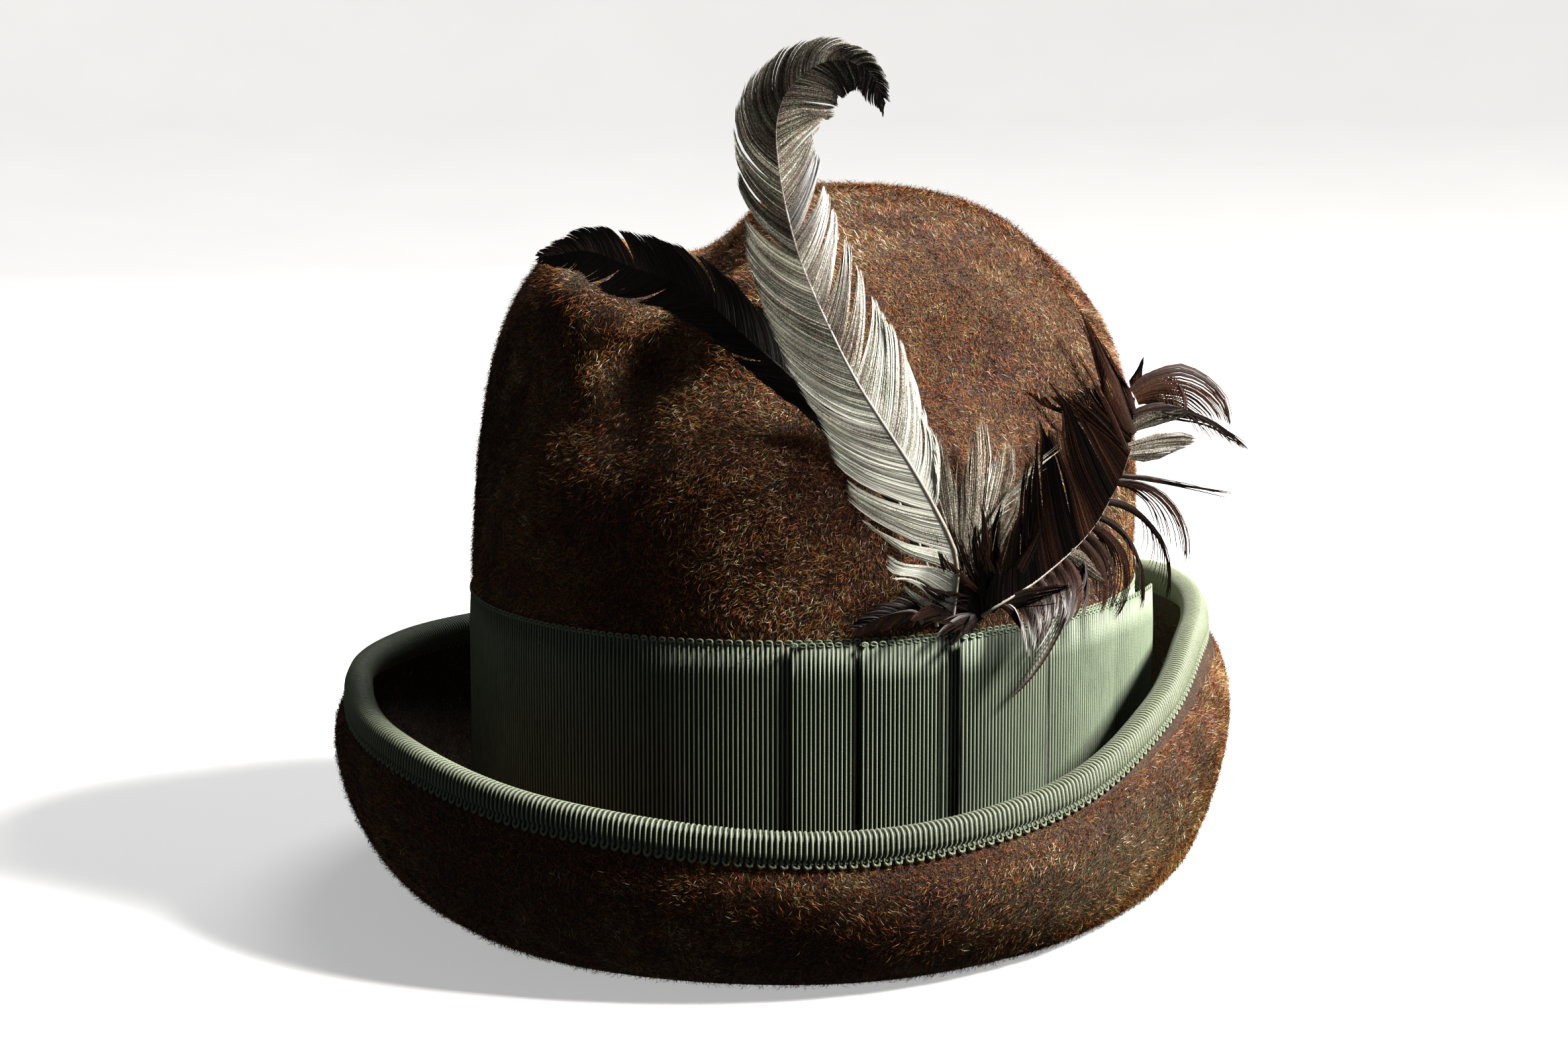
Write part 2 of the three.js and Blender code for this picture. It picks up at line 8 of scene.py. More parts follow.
import bpy
import numpy as np
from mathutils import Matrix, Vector

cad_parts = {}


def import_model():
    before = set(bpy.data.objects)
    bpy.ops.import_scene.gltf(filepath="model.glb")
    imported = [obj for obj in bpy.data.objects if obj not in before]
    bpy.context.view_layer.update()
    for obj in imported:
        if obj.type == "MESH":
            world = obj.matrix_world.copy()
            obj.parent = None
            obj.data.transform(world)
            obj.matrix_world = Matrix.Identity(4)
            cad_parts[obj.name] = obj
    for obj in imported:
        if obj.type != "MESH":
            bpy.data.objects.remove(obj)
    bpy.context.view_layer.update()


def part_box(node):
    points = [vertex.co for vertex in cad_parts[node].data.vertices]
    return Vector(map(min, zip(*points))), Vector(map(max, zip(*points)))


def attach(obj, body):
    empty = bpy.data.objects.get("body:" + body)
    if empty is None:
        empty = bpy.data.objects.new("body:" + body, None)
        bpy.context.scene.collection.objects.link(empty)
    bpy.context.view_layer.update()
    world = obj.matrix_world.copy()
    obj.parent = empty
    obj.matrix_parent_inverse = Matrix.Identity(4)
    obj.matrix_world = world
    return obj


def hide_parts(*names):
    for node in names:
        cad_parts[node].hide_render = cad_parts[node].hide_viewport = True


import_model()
scene = bpy.context.scene

MM = 0.001
FELT = 2.2  # thickness of the felt wall
RIBBON = 0.9  # thickness of the ribbon
GAP = 0.3  # between pieces that lie on each other
BAND_LIFT = FELT / 2 + GAP

band_low, band_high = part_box("hat_band")
felt_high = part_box("felt_body")[1]
HEAD_AXIS = np.array([(band_low.x + band_high.x) / 2, (band_low.y + band_high.y) / 2, 0]) / MM
HALF_WIDTH = (band_high.x - band_low.x) / 2 / MM - BAND_LIFT - RIBBON
HALF_LENGTH = (band_high.y - band_low.y) / 2 / MM - BAND_LIFT - RIBBON
BAND_BOTTOM = band_low.z / MM
BAND_TOP = band_high.z / MM
CROWN_HEIGHT = felt_high.z / MM - FELT / 2
CROWN_LEAN = 5  # how far the dome's top leans to the wearer's left
SHOULDER_HEIGHT = 80  # where the crown starts to round in
BREAK_HEIGHT = 15  # where the crown turns out into the brim
TURN_OUT = 6  # the wall starts to turn out this far above the break
REST_INNER = 4  # the flat where the brim rests starts this far outside the wall
FOOT_SHARE = 0.3  # the bend under the break: its share of the way out to the rest
FOOT_HEIGHT = 5  # and its height
BELLY_SHARE = 0.62  # the brim's belly: its share of the way from the rest to the widest line
BELLY_RISE = 0.4  # and its share of that line's height


def table(names, rows):
    """Named columns from rows of numbers."""
    return dict(zip(names.split(), np.array(rows, float).T))


# The brim: how far out the flat that it rests on ends, and how far out and how high its widest line
# and its rim are. The shoulder: how square it is. The dents: chains of places on the crown, each with
# its drop from the apex in degrees, its depth and its width.
BRIM = table("turn rest_out wide_out wide_up rim_out rim_up", [
    (-180, 110, 130, 40, 126, 54), (-135, 101, 121, 38, 117, 49), (-90, 92, 115, 39, 109, 51),
    (-60, 94, 118, 38, 112, 52), (-35, 102, 127, 34, 123, 48), (-10, 112, 134, 27, 131, 41),
    (18, 113, 133, 24, 130, 36.5), (40, 103, 124, 28, 120, 41), (65, 92, 110, 36, 104, 53),
    (90, 90, 105, 44, 96, 63), (130, 99, 111, 45, 103, 67), (155, 107, 124, 43, 118, 61),
])
SHOULDER = table("turn square", [(-165, 2.8), (-75, 3.5), (15, 2.8), (100, 2.5)])
DENTS = [
    table("turn drop depth width", rows) for rows in (
        [(-140, 46, 7, 28), (-95, 17, 18, 31), (-43, 19, 21, 31), (-18, 33, 16, 30), (-18, 52, 8, 26)],
        [(6, 60, 6, 24), (-16, 66, 11, 30), (-50, 76, 5, 22)],
        [(34, 60, 5, 26), (60, 70, 4, 26)],
        [(130, 30, 1.5, 16), (95, 48, 2.5, 18)],
    )
]


# ---- curves and surfaces ----
def place(turn, out, up):
    angle = np.radians(turn)
    return np.stack(np.broadcast_arrays(out * np.sin(angle), -out * np.cos(angle), up), axis=-1)


def outward(turn):
    return place(turn, 1.0, 0.0)


def unit(vectors):
    return vectors / np.maximum(np.linalg.norm(vectors, axis=-1, keepdims=True), 1e-9)


def around(rows, name, turn):
    """A value from a table with turns, smooth all the way round."""
    turns = np.concatenate([rows["turn"] + lap for lap in (-360, 0, 360)])
    values = np.tile(rows[name], 3)
    slopes = (np.roll(values, -1) - np.roll(values, 1)) / (np.roll(turns, -1) - np.roll(turns, 1))
    i = np.searchsorted(turns, turn, side="right") - 1
    span = turns[i + 1] - turns[i]
    t = (turn - turns[i]) / span
    leave = slopes[i] * span
    arrive = slopes[i + 1] * span
    rise = values[i + 1] - values[i]
    return values[i] + t * (leave + t * (3 * rise - 2 * leave - arrive + t * (leave + arrive - 2 * rise)))


def smooth_line(points, stops):
    """A smooth curve through points (..., n, 3), at stops counted in points."""
    before = 2 * points[..., :1, :] - points[..., 1:2, :]
    after = 2 * points[..., -1:, :] - points[..., -2:-1, :]
    points = np.concatenate([before, points, after], axis=-2)
    at = np.minimum(np.floor(stops).astype(int), points.shape[-2] - 4)
    t = (stops - at)[:, None]
    a, b, c, d = (points[..., at + k, :] for k in range(4))
    ab, bc, cd = (np.sqrt(np.linalg.norm(q - p, axis=-1, keepdims=True))
                  for p, q in ((a, b), (b, c), (c, d)))
    leave = ((b - a) / ab - (c - a) / (ab + bc) + (c - b) / bc) * bc
    arrive = ((c - b) / bc - (d - b) / (bc + cd) + (d - c) / cd) * bc
    return b + t * (leave + t * (3 * (c - b) - 2 * leave - arrive + t * (2 * (b - c) + leave + arrive)))


def between(stops, points, at):
    """Points (n, 3) read at places between their stops."""
    return np.stack([np.interp(at, stops, points[:, axis]) for axis in range(3)], axis=-1)


def oval_out(turn, grow=0.0):
    """The distance from the axis to the head's oval, grown by so much."""
    angle = np.radians(turn)
    return 1 / np.hypot(np.sin(angle) / (HALF_WIDTH + grow), np.cos(angle) / (HALF_LENGTH + grow))


def crown_point(turn, drop):
    """The undented crown, from its apex at a drop of 0 to the shoulder at 90."""
    power = 2 / around(SHOULDER, "square", turn)
    out = oval_out(turn) * np.sin(np.radians(drop)) ** power
    rise = np.maximum(np.cos(np.radians(drop)), 0) ** power
    points = place(turn, out, SHOULDER_HEIGHT + (CROWN_HEIGHT - SHOULDER_HEIGHT) * rise)
    points[..., 0] += CROWN_LEAN * rise
    return points


def dent_depth(points):
    total = 0
    for rows in DENTS:
        stations = crown_point(rows["turn"], rows["drop"])
        deepest = np.zeros(points.shape[:-1])
        for i in range(len(stations) - 1):
            along = stations[i + 1] - stations[i]
            t = np.clip((points - stations[i]) @ along / (along @ along), 0, 1)
            away = np.linalg.norm(points - stations[i] - t[..., None] * along, axis=-1)
            width, depth = (rows[name][i] + t * (rows[name][i + 1] - rows[name][i])
                            for name in ("width", "depth"))
            near = np.maximum(0, 1 - (away / width) ** 2)
            deepest = np.maximum(deepest, depth * near * near)
        total = total + deepest
    return total


def brim_line(turn, stops):
    """The brim's middle surface from inside the band (stop 0) to the rim (stop 7)."""
    wall = oval_out(turn)
    middle = FELT / 2
    rest, wide, wide_up, rim, rim_up = (
        around(BRIM, name, turn) for name in ("rest_out", "wide_out", "wide_up", "rim_out", "rim_up"))
    rows = [
        (wall, BREAK_HEIGHT + TURN_OUT),
        (wall, BREAK_HEIGHT),
        (wall + FOOT_SHARE * REST_INNER, FOOT_HEIGHT),
        (wall + REST_INNER, middle),
        (rest, middle),
        (rest + BELLY_SHARE * (wide - rest), BELLY_RISE * wide_up),
        (wide - middle, wide_up),
        (rim, rim_up),
    ]
    return smooth_line(np.stack([place(turn, out, up) for out, up in rows], axis=-2), stops)


def grid_normals(grid, first):
    """Normals of a grid (turns, stations, 3) that starts at one point and closes round the turns."""
    round_about = np.roll(grid, -1, axis=0) - np.roll(grid, 1, axis=0)
    before = np.concatenate([np.broadcast_to(first, grid[:, :1].shape), grid[:, :-1]], axis=1)
    after = np.concatenate([grid[:, 1:], grid[:, -1:]], axis=1)
    return unit(np.cross(after - before, round_about))


# The felt's middle surface: stations from just below the apex over the shoulder to the rim.
TURN_STEPS = 224
CROWN_STEPS = 46
WALL_STEPS = 5
BRIM_STOPS = np.concatenate([np.linspace(0, 3, 10), np.linspace(3, 4, 4)[1:], np.linspace(4, 7, 25)[1:]])
turns = -180 + 360 * np.arange(TURN_STEPS) / TURN_STEPS


def felt_surface():
    drops = 90 * np.arange(1, CROWN_STEPS + 1) / CROWN_STEPS
    crown = crown_point(turns[:, None], drops[None, :])
    heights = np.linspace(SHOULDER_HEIGHT, BREAK_HEIGHT + TURN_OUT, WALL_STEPS + 1)[1:-1]
    wall = place(turns[:, None], oval_out(turns)[:, None], heights[None, :])
    plain = np.concatenate([crown, wall, brim_line(turns, BRIM_STOPS)], axis=1)
    apex = crown_point(np.array(0.0), np.array(0.0))
    dented = plain - grid_normals(plain, apex) * dent_depth(plain)[..., None]
    top = apex - np.array([0, 0, float(dent_depth(apex))])
    return top, dented, grid_normals(dented, top)


felt_top, felt_middle, felt_normals = felt_surface()


# ---- making pieces ----
def random(name):
    """A generator of its own for each piece, so that one doesn't shift another's draws."""
    return np.random.default_rng([ord(letter) for letter in name])


def waves(points, size, name, count=7):
    """Smooth noise of about -1 to 1 over points, with features of about that size."""
    draw = random(name)
    ways = draw.normal(size=(count, 3)) * (2.2 / size)
    starts = draw.uniform(0, 2 * math.pi, count)
    return np.sin(points @ ways.T + starts).sum(axis=-1) / math.sqrt(count)


def put_in(name, data):
    """A new object in the scene."""
    made = bpy.data.objects.new(name, data)
    scene.collection.objects.link(made)
    return made


class Shape:
    """Points and faces collected for one piece, each batch with a material number and a tone."""

    def __init__(self):
        self.points, self.faces, self.finish, self.tones, self.flat = [], [], [], [], []
        self.count = 0

    def add(self, points, faces, tone=0.0, finish=0, flat=None):
        """Points, and faces counted from the first of them. A triangle's fourth corner is -1."""
        points = points.reshape(-1, 3)
        self.points.append(points)
        self.tones.append(np.broadcast_to(tone, len(points)))
        self.flat.append(np.zeros((len(points), 2)) if flat is None else flat)
        self.close(np.where(faces < 0, -1, faces + self.count), finish)
        self.count += len(points)

    def close(self, faces, finish=0):
        """Faces between points that the shape already has."""
        self.faces.append(faces)
        self.finish.append(np.full(len(faces), finish))

    def grid(self, points, closed, tone=0.0, finish=0):
        """A sheet of quads over points (rows, columns, 3)."""
        rows, columns = points.shape[:2]
        i = np.arange(rows if closed[0] else rows - 1)[:, None]
        j = np.arange(columns if closed[1] else columns - 1)[None, :]
        below, beside = (i + 1) % rows, (j + 1) % columns
        corners = np.stack(np.broadcast_arrays(
            i * columns + j, i * columns + beside, below * columns + beside, below * columns + j), axis=-1)
        tone = np.broadcast_to(tone, (rows, columns)).ravel()
        self.add(points, corners.reshape(-1, 4), tone, finish)

    def piece(self, name, looks, replaced=()):
        points = (np.concatenate(self.points) + HEAD_AXIS) * MM
        faces = np.concatenate(self.faces)
        mesh = bpy.data.meshes.new(name)
        mesh.vertices.add(len(points))
        mesh.vertices.foreach_set("co", points.ravel())
        sides = (faces >= 0).sum(axis=1)
        corners = faces[faces >= 0]
        mesh.loops.add(len(corners))
        mesh.loops.foreach_set("vertex_index", corners)
        mesh.polygons.add(len(faces))
        mesh.polygons.foreach_set("loop_start", np.cumsum(sides) - sides)
        mesh.polygons.foreach_set("material_index", np.concatenate(self.finish))
        mesh.polygons.foreach_set("use_smooth", np.ones(len(faces), bool))
        tone = mesh.attributes.new("tone", "FLOAT", "POINT")
        tone.data.foreach_set("value", np.concatenate(self.tones))
        if any(batch.any() for batch in self.flat):
            flat_map = mesh.uv_layers.new(name="OFBake")
            flat_map.data.foreach_set("uv", np.concatenate(self.flat)[corners].ravel())
        mesh.update(calc_edges=True)
        for look in looks:
            mesh.materials.append(look)
        made = put_in(name, mesh)
        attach(made, "root")
        if replaced:
            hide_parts(*replaced)
        return made


def strips(shape, paths, across, widths, finish, tone):
    """Flat fibres along paths (fibres, points, 3), each a strip that ends in a point."""
    fibres, steps = paths.shape[:2]
    sideways = across * widths[..., None] / 2
    left = paths[:, :-1] + sideways[:, :-1]
    right = paths[:, :-1] - sideways[:, :-1]
    body = np.stack([left, right], axis=2).reshape(fibres, -1, 3)
    points = np.concatenate([body, paths[:, -1:]], axis=1)
    per = points.shape[1]
    k = 2 * np.arange(steps - 2)
    quads = np.stack([k, k + 1, k + 3, k + 2], axis=-1)
    tip = np.array([[per - 3, per - 2, per - 1, -1]])
    pattern = np.concatenate([quads, tip])
    starts = (per * np.arange(fibres))[:, None, None]
    faces = np.where(pattern < 0, -1, pattern + starts).reshape(-1, 4)
    share = np.repeat(np.arange(steps) / (steps - 1), 2)[: per]
    share[-1] = 1
    edge = np.tile([0.1, 0.9], steps)[: per].copy()
    edge[-1] = 0.5
    flat = cells(fibres, np.stack([edge, 0.05 + 0.9 * share], axis=-1))
    shape.add(points, faces, np.repeat(tone, per), finish, flat)


def cells(fibres, outline):
    """Lays each fibre's outline out in a cell of its own on a square map."""
    side = math.ceil(math.sqrt(fibres))
    corner = np.stack([np.arange(fibres) % side, np.arange(fibres) // side], axis=-1)
    return ((corner[:, None, :] + outline[None]) / side).reshape(-1, 2)


# ---- materials ----
class Signal:
    """A value inside a material. Arithmetic on it adds Math nodes."""

    def __init__(self, look, socket):
        self.look = look
        self.socket = socket

    def maths(self, operation, a, b):
        return self.look.node("Math", {"operation": operation}, {0: a, 1: b})

    def __add__(self, other):
        return self.maths("ADD", self, other)

    __radd__ = __add__

    def __sub__(self, other):
        return self.maths("SUBTRACT", self, other)

    def __rsub__(self, other):
        return self.maths("SUBTRACT", other, self)

    def __mul__(self, other):
        return self.maths("MULTIPLY", self, other)

    __rmul__ = __mul__


class Look:
    def __init__(self, name):
        self.material = bpy.data.materials.new(name)
        self.material.use_nodes = True
        self.tree = self.material.node_tree
        self.shader = self.tree.nodes["Principled BSDF"]
        self.here = self.node("TexCoord", {}, {}, "Object")

    def node(self, kind, settings, inputs, output=0):
        made = self.tree.nodes.new("ShaderNode" + kind)
        for name, value in settings.items():
            if name == "stops":
                self.set_stops(made.color_ramp, value)
            else:
                setattr(made, name, value)
        for name, value in inputs.items():
            self.feed(made.inputs[name], value)
        return Signal(self, made.outputs[output])

    def set_stops(self, ramp, stops):
        while len(ramp.elements) < len(stops):
            ramp.elements.new(1)
        for element, (position, colour) in zip(ramp.elements, stops):
            element.position = position
            element.color = (*colour, 1)

    def feed(self, socket, value):
        if isinstance(value, Signal):
            self.tree.links.new(value.socket, socket)
        else:
            socket.default_value = (*value, 1) if socket.type == "RGBA" else value

    def ramp(self, value, stops):
        return self.node("ValToRGB", {"stops": stops}, {"Fac": value})

    def noise(self, scale, detail=3.0, stretch=(1, 1, 1)):
        where = self.node("Mapping", {}, {"Vector": self.here, "Scale": stretch})
        return self.node("TexNoise", {}, {"Vector": where, "Scale": scale, "Detail": detail}, "Fac")

    def mix(self, share, a, b, blend="MIX"):
        return self.node("Mix", {"data_type": "RGBA", "blend_type": blend}, {0: share, 6: a, 7: b}, 2)

    def attribute(self, name):
        return self.node("Attribute", {"attribute_name": name}, {}, "Fac")

    def bump(self, height, distance, strength):
        return self.node("Bump", {}, {"Height": height, "Distance": distance, "Strength": strength})

    def finish(self, **sockets):
        for name, value in sockets.items():
            self.feed(self.shader.inputs[name.replace("_", " ")], value)
        return self.material


def nap_look():
    """Each fibre its own shade of rust, olive or straw, with patches where one of them wins; the few
    near-white fibres are painted glints.
    """
    look = Look("velour_nap")
    each = look.node("NewGeometry", {}, {}, "Random Per Island")
    patches = look.noise(30, 2)
    clumps = look.noise(170, 3)
    tint = look.ramp(each * 0.9 + (patches - 0.5) * 0.6 + (clumps - 0.5) * 0.9, [
        (0.0, (0.012, 0.004, 0.002)), (0.20, (0.055, 0.014, 0.005)), (0.46, (0.320, 0.070, 0.016)),
        (0.66, (0.400, 0.140, 0.034)), (0.80, (0.170, 0.170, 0.038)), (0.95, (0.380, 0.340, 0.120)),
        # The near-white stop at 1.0 is painted glint on fibre tips.
        (1.0, (0.800, 0.740, 0.500)),
    ])
    return look.finish(Base_Color=tint, Roughness=0.38, Specular_IOR_Level=0.28)


def felt_look():
    """The dark felt between the fibres, speckled like them."""
    look = Look("velour_felt")
    patches = look.noise(30, 2)
    clumps = look.noise(170, 3)
    grain = look.noise(2600, 3)
    tint = look.ramp(patches * 0.35 + clumps * 0.35 + (grain - 0.5) * 1.9 + 0.1, [
        (0.15, (0.004, 0.002, 0.001)), (0.42, (0.028, 0.009, 0.004)), (0.62, (0.085, 0.028, 0.011)),
        (0.78, (0.075, 0.062, 0.020)), (0.95, (0.280, 0.235, 0.110)),
    ])
    bumped = look.bump(grain, 0.0005, 0.9)
    return look.finish(Base_Color=tint, Roughness=0.9, Normal=bumped,
                       Sheen_Weight=0.15, Sheen_Roughness=0.4, Sheen_Tint=(0.72, 0.84, 0.52))


def ribbon_look(name, groove, face, worn):
    """Ribbed ribbon: painted shade, nearly black, where the tone is low, in its grooves and on its plain
    back, with a weft that fades here and there to the worn colour.
    """
    look = Look(name)
    ridge = look.attribute("tone")
    weft = look.noise(700, 3, (1, 1, 0.25))
    fade = look.noise(45, 3)
    thread = look.mix(fade, face, worn)
    height = look.node("MapRange", {}, {"Value": ridge * 1.2 - 0.2 + (weft - 0.5) * 0.5})
    tint = look.mix(height, groove, thread)
    bumped = look.bump(look.noise(2200, 2, (1, 1, 3)), 0.0002, 0.6)
    return look.finish(Base_Color=tint, Roughness=0.55, Normal=bumped,
                       Sheen_Weight=0.2, Sheen_Roughness=0.4)


def barb_look(name, dark, middle, light, roughness, specular):
    """Barbs as light as their tone says, each a little different, with a fine speckle that is partly
    painted glint, and with a painted iridescent sheen.
    """
    look = Look(name)
    each = look.node("NewGeometry", {}, {}, "Random Per Island")
    # A fine speckle whose light flecks are partly painted glints.
    speckle_and_glints = look.noise(3600, 2)
    bands = look.noise(90, 2)
    value = look.attribute("tone") + (each - 0.5) * 0.4 + (speckle_and_glints - 0.5) * 1.5 + (bands - 0.5) * 0.7
    tint = look.ramp(value, [(0, dark), (0.5, middle), (1, light)])
    # Painted iridescent sheen: fixed green and pink tints soft-lit over the barbs' colour.
    painted_iridescence = look.mix(look.noise(300, 3), (0.34, 0.62, 0.42), (0.68, 0.42, 0.46))
    return look.finish(Base_Color=look.mix(0.75, tint, painted_iridescence, "SOFT_LIGHT"), Roughness=roughness,
                       Specular_IOR_Level=specular)


def quill_look():
    """A shaft: horn-coloured from its foot, darker towards the tip."""
    look = Look("quill")
    grain = look.noise(300, 3, (1, 1, 0.3))
    tint = look.ramp(look.attribute("tone") + (grain - 0.5) * 0.3, [
        (0.0, (0.42, 0.36, 0.28)), (0.42, (0.46, 0.41, 0.38)), (0.6, (0.20, 0.165, 0.145)),
        (0.9, (0.13, 0.10, 0.085)),
    ])
    return look.finish(Base_Color=tint, Roughness=0.35)


NAP = nap_look()
VELOUR = felt_look()
# Each ribbon's first colour is the painted shade of its grooves and back.
BAND_RIBBON = ribbon_look(
    "ribbed_ribbon", (0.002, 0.003, 0.002), (0.170, 0.225, 0.135), (0.33, 0.40, 0.27))
EDGE_RIBBON = ribbon_look(
    "edge_ribbon", (0.003, 0.004, 0.002), (0.170, 0.205, 0.118), (0.30, 0.34, 0.215))
# The silvery barbs' light colour, near white, is partly painted glint and sheen.
SILVERY_GLINT_BARBS = barb_look(
    "silvery_barbs_painted_glints", (0.008, 0.004, 0.003), (0.21, 0.175, 0.145), (0.90, 0.90, 0.82), 0.32, 0.7)
DARK_BARBS = barb_look(
    "dark_barbs", (0.003, 0.0015, 0.001), (0.032, 0.011, 0.006), (0.115, 0.042, 0.022), 0.42, 0.32)
BLACK_BARBS = barb_look(
    "black_barbs", (0.003, 0.002, 0.002), (0.022, 0.013, 0.010), (0.055, 0.035, 0.026), 0.42, 0.35)
QUILL = quill_look()


# ---- felt ----
def felt_sheet(lift):
    sheet = felt_middle + felt_normals * lift
    sheet[..., 2] = np.maximum(sheet[..., 2], 0)
    return sheet


def felt_skin():
    shape = Shape()
    outer, inner = felt_sheet(FELT / 2), felt_sheet(-FELT / 2)
    shape.grid(np.concatenate([outer, inner[:, ::-1]], axis=1)[::-1], closed=(True, False))
    rows, columns = TURN_STEPS, 2 * outer.shape[1]
    for lift, column, order in ((FELT / 2, 0, 1), (-FELT / 2, columns - 1, -1)):
        ring = np.arange(rows) * columns + column
        beside = [ring, np.roll(ring, -1)][::order]
        fan = np.stack([np.full(rows, shape.count), *beside, np.full(rows, -1)], axis=-1)
        shape.add(felt_top + [0, 0, lift], np.empty((0, 4), int))
        shape.close(fan)
    return shape.piece("felt_skin", [VELOUR], ["felt_body"])


def roots_on(sheet, normals, wanted, fibres, draw):
    """Fibre roots spread evenly over a grid where `wanted` is above 0: place, normal and the way down."""
    step_round = np.roll(sheet, -1, axis=0)[:, :-1] - sheet[:, :-1]
    step_down = sheet[:, 1:] - sheet[:, :-1]
    area = np.linalg.norm(np.cross(step_round, step_down), axis=-1)
    chance = (area * wanted[:, :-1]).ravel()
    picked = draw.choice(chance.size, size=fibres, p=chance / chance.sum())
    i, j = np.unravel_index(picked, area.shape)
    u, v = draw.uniform(size=(2, fibres, 1))
    after = (i + 1) % len(sheet)

    def blend(grid):
        return ((1 - u) * (1 - v) * grid[i, j] + u * (1 - v) * grid[after, j]
                + (1 - u) * v * grid[i, j + 1] + u * v * grid[after, j + 1])

    return blend(sheet), unit(blend(normals)), unit(step_down[i, j])


NAP_REACH = 1.65  # length of a fibre of middling size
PILE_REACH = (0.55, 1.1)  # the short pile's share of it, from and to
HAIR_REACH = (0.9, 1.8)  # and the longer hairs'
PILE_WIDE = 0.085  # half a fibre's width
HAIR_WIDE = 0.06
NAP_RISE = (14, 48)  # degrees that fibres stand off the felt, from and to


def nap(name, sheet, normals, wanted, short, long):
    """Brushed fibres along a swirling comb: a dense short pile and longer curved hairs over it."""
    draw = random(name)
    fibres = short + long
    root, normal, down = roots_on(sheet, normals, wanted, fibres, draw)
    hair = np.arange(fibres)[:, None] >= short
    aside = np.cross(normal, down)
    comb = 1.1 * waves(root, 34, "comb") + 0.9 * waves(root, 11, "swirl") + draw.normal(0, 0.95, fibres)
    along = down * np.cos(comb)[:, None] + aside * np.sin(comb)[:, None]
    across = np.cross(normal, along)
    hair_far = draw.uniform(*HAIR_REACH, (fibres, 1))
    pile_far = draw.uniform(*PILE_REACH, (fibres, 1))
    far = NAP_REACH * np.where(hair, hair_far, pile_far)
    rise = np.radians(draw.uniform(*NAP_RISE, (fibres, 1)) + 8 * waves(root, 12, "stand")[:, None])
    roll = draw.uniform(-1.1, 1.1, (fibres, 1))
    flat = unit(across * np.cos(roll) + normal * np.sin(roll))
    wide = np.where(hair, HAIR_WIDE, PILE_WIDE) * draw.uniform(0.7, 1.2, (fibres, 1))
    bend = draw.normal(0, 0.3, (fibres, 1))
    middle = root + far * 0.5 * (along * np.cos(rise) + normal * np.sin(rise) * 1.2)
    tip = root + far * (along * np.cos(rise) + across * bend * hair * 0.5 + normal * np.sin(rise) * 0.9)
    shape = Shape()
    pile = np.stack([root - flat * wide, root + flat * wide, tip], axis=1)[:short]
    pile = pile - 0.05 * normal[:short, None]
    hairs = np.stack([root - normal * 0.1, middle - flat * wide, tip, middle + flat * wide], axis=1)[short:]
    pile[..., 2] = np.maximum(pile[..., 2], 0.05)
    hairs[..., 2] = np.maximum(hairs[..., 2], 0.05)
    first = np.array([[0, 1, 2, -1]]) + (3 * np.arange(short))[:, None] * np.array([[1, 1, 1, 0]])
    shape.add(pile, first, 0.0, 0, cells(short, np.array([(0.1, 0.1), (0.9, 0.1), (0.5, 0.9)])) * [1, 0.5])
    each = (4 * np.arange(long))[:, None]
    halves = np.concatenate([each + np.array([[0, 1, 3]]), each + np.array([[1, 2, 3]])])
    halves = np.concatenate([halves, np.full((len(halves), 1), -1)], axis=1)
    corners = np.array([(0.5, 0.05), (0.1, 0.5), (0.5, 0.95), (0.9, 0.5)])
    shape.add(hairs, halves, 1.0, 0, cells(long, corners) * [1, 0.5] + [0, 0.5])
    return shape.piece(name, [NAP])


DOME_FOOT = 120  # the height that parts the dome's nap from the crown's


def lay_nap():
    """Nap in seven pieces: on the crown above the ribbon, and on both faces of the brim."""
    up = felt_middle[..., 2]
    above_brim = np.full(CROWN_STEPS + WALL_STEPS - 1, -1.0)
    stop = np.concatenate([above_brim, BRIM_STOPS])[None, :]
    crown = (stop < 0) & (up > BAND_TOP - 1)
    front = np.cos(np.radians(turns - 10))[:, None] > -0.1
    low_crown = crown & (up < DOME_FOOT)
    dome = crown & (up >= DOME_FOOT)
    top_side = (stop > 2.4) & (stop < 6.5)
    belly = (stop > 4.0) & (stop < 6.45)
    for name, side, wanted, short, long in (
            ("nap_dome_front", 1, dome & front, 84000, 17000),
            ("nap_dome_back", 1, dome & ~front, 52000, 10000),
            ("nap_crown_front", 1, low_crown & front, 72000, 15000),
            ("nap_crown_back", 1, low_crown & ~front, 56000, 10000),
            ("nap_brim_top", 1, top_side, 50000, 8000),
            ("nap_belly_front", -1, belly & front, 88000, 17000),
            ("nap_belly_back", -1, belly & ~front, 58000, 10000)):
        nap(name, felt_sheet(side * FELT / 2), side * felt_normals, wanted, short, long)


felt_skin()
lay_nap()


# ---- ribbon ----
RIB = 1.0  # from one rib of the ribbon to the next
RIB_DEPTH = 0.42  # from a rib's top to the groove beside it
BAND_BODY = 0.5  # from the ribbon's back to its grooves
PLEAT_BODY = 0.7  # and the same where it lies double in the bow
SELVAGE = 0.6  # room for the loops along the band's top; the bow is this much shorter at each end
BAND_EDGE = (0.1, 0.55, SELVAGE)  # at an edge: how proud ribs are; how the top edge rises and drops
PLEAT_EDGE = (0.08, 0.6, 0.3)
RIB_SHAPE = table("at proud", [(0, 0), (0.48, 0), (0.62, 1), (0.88, 1)])


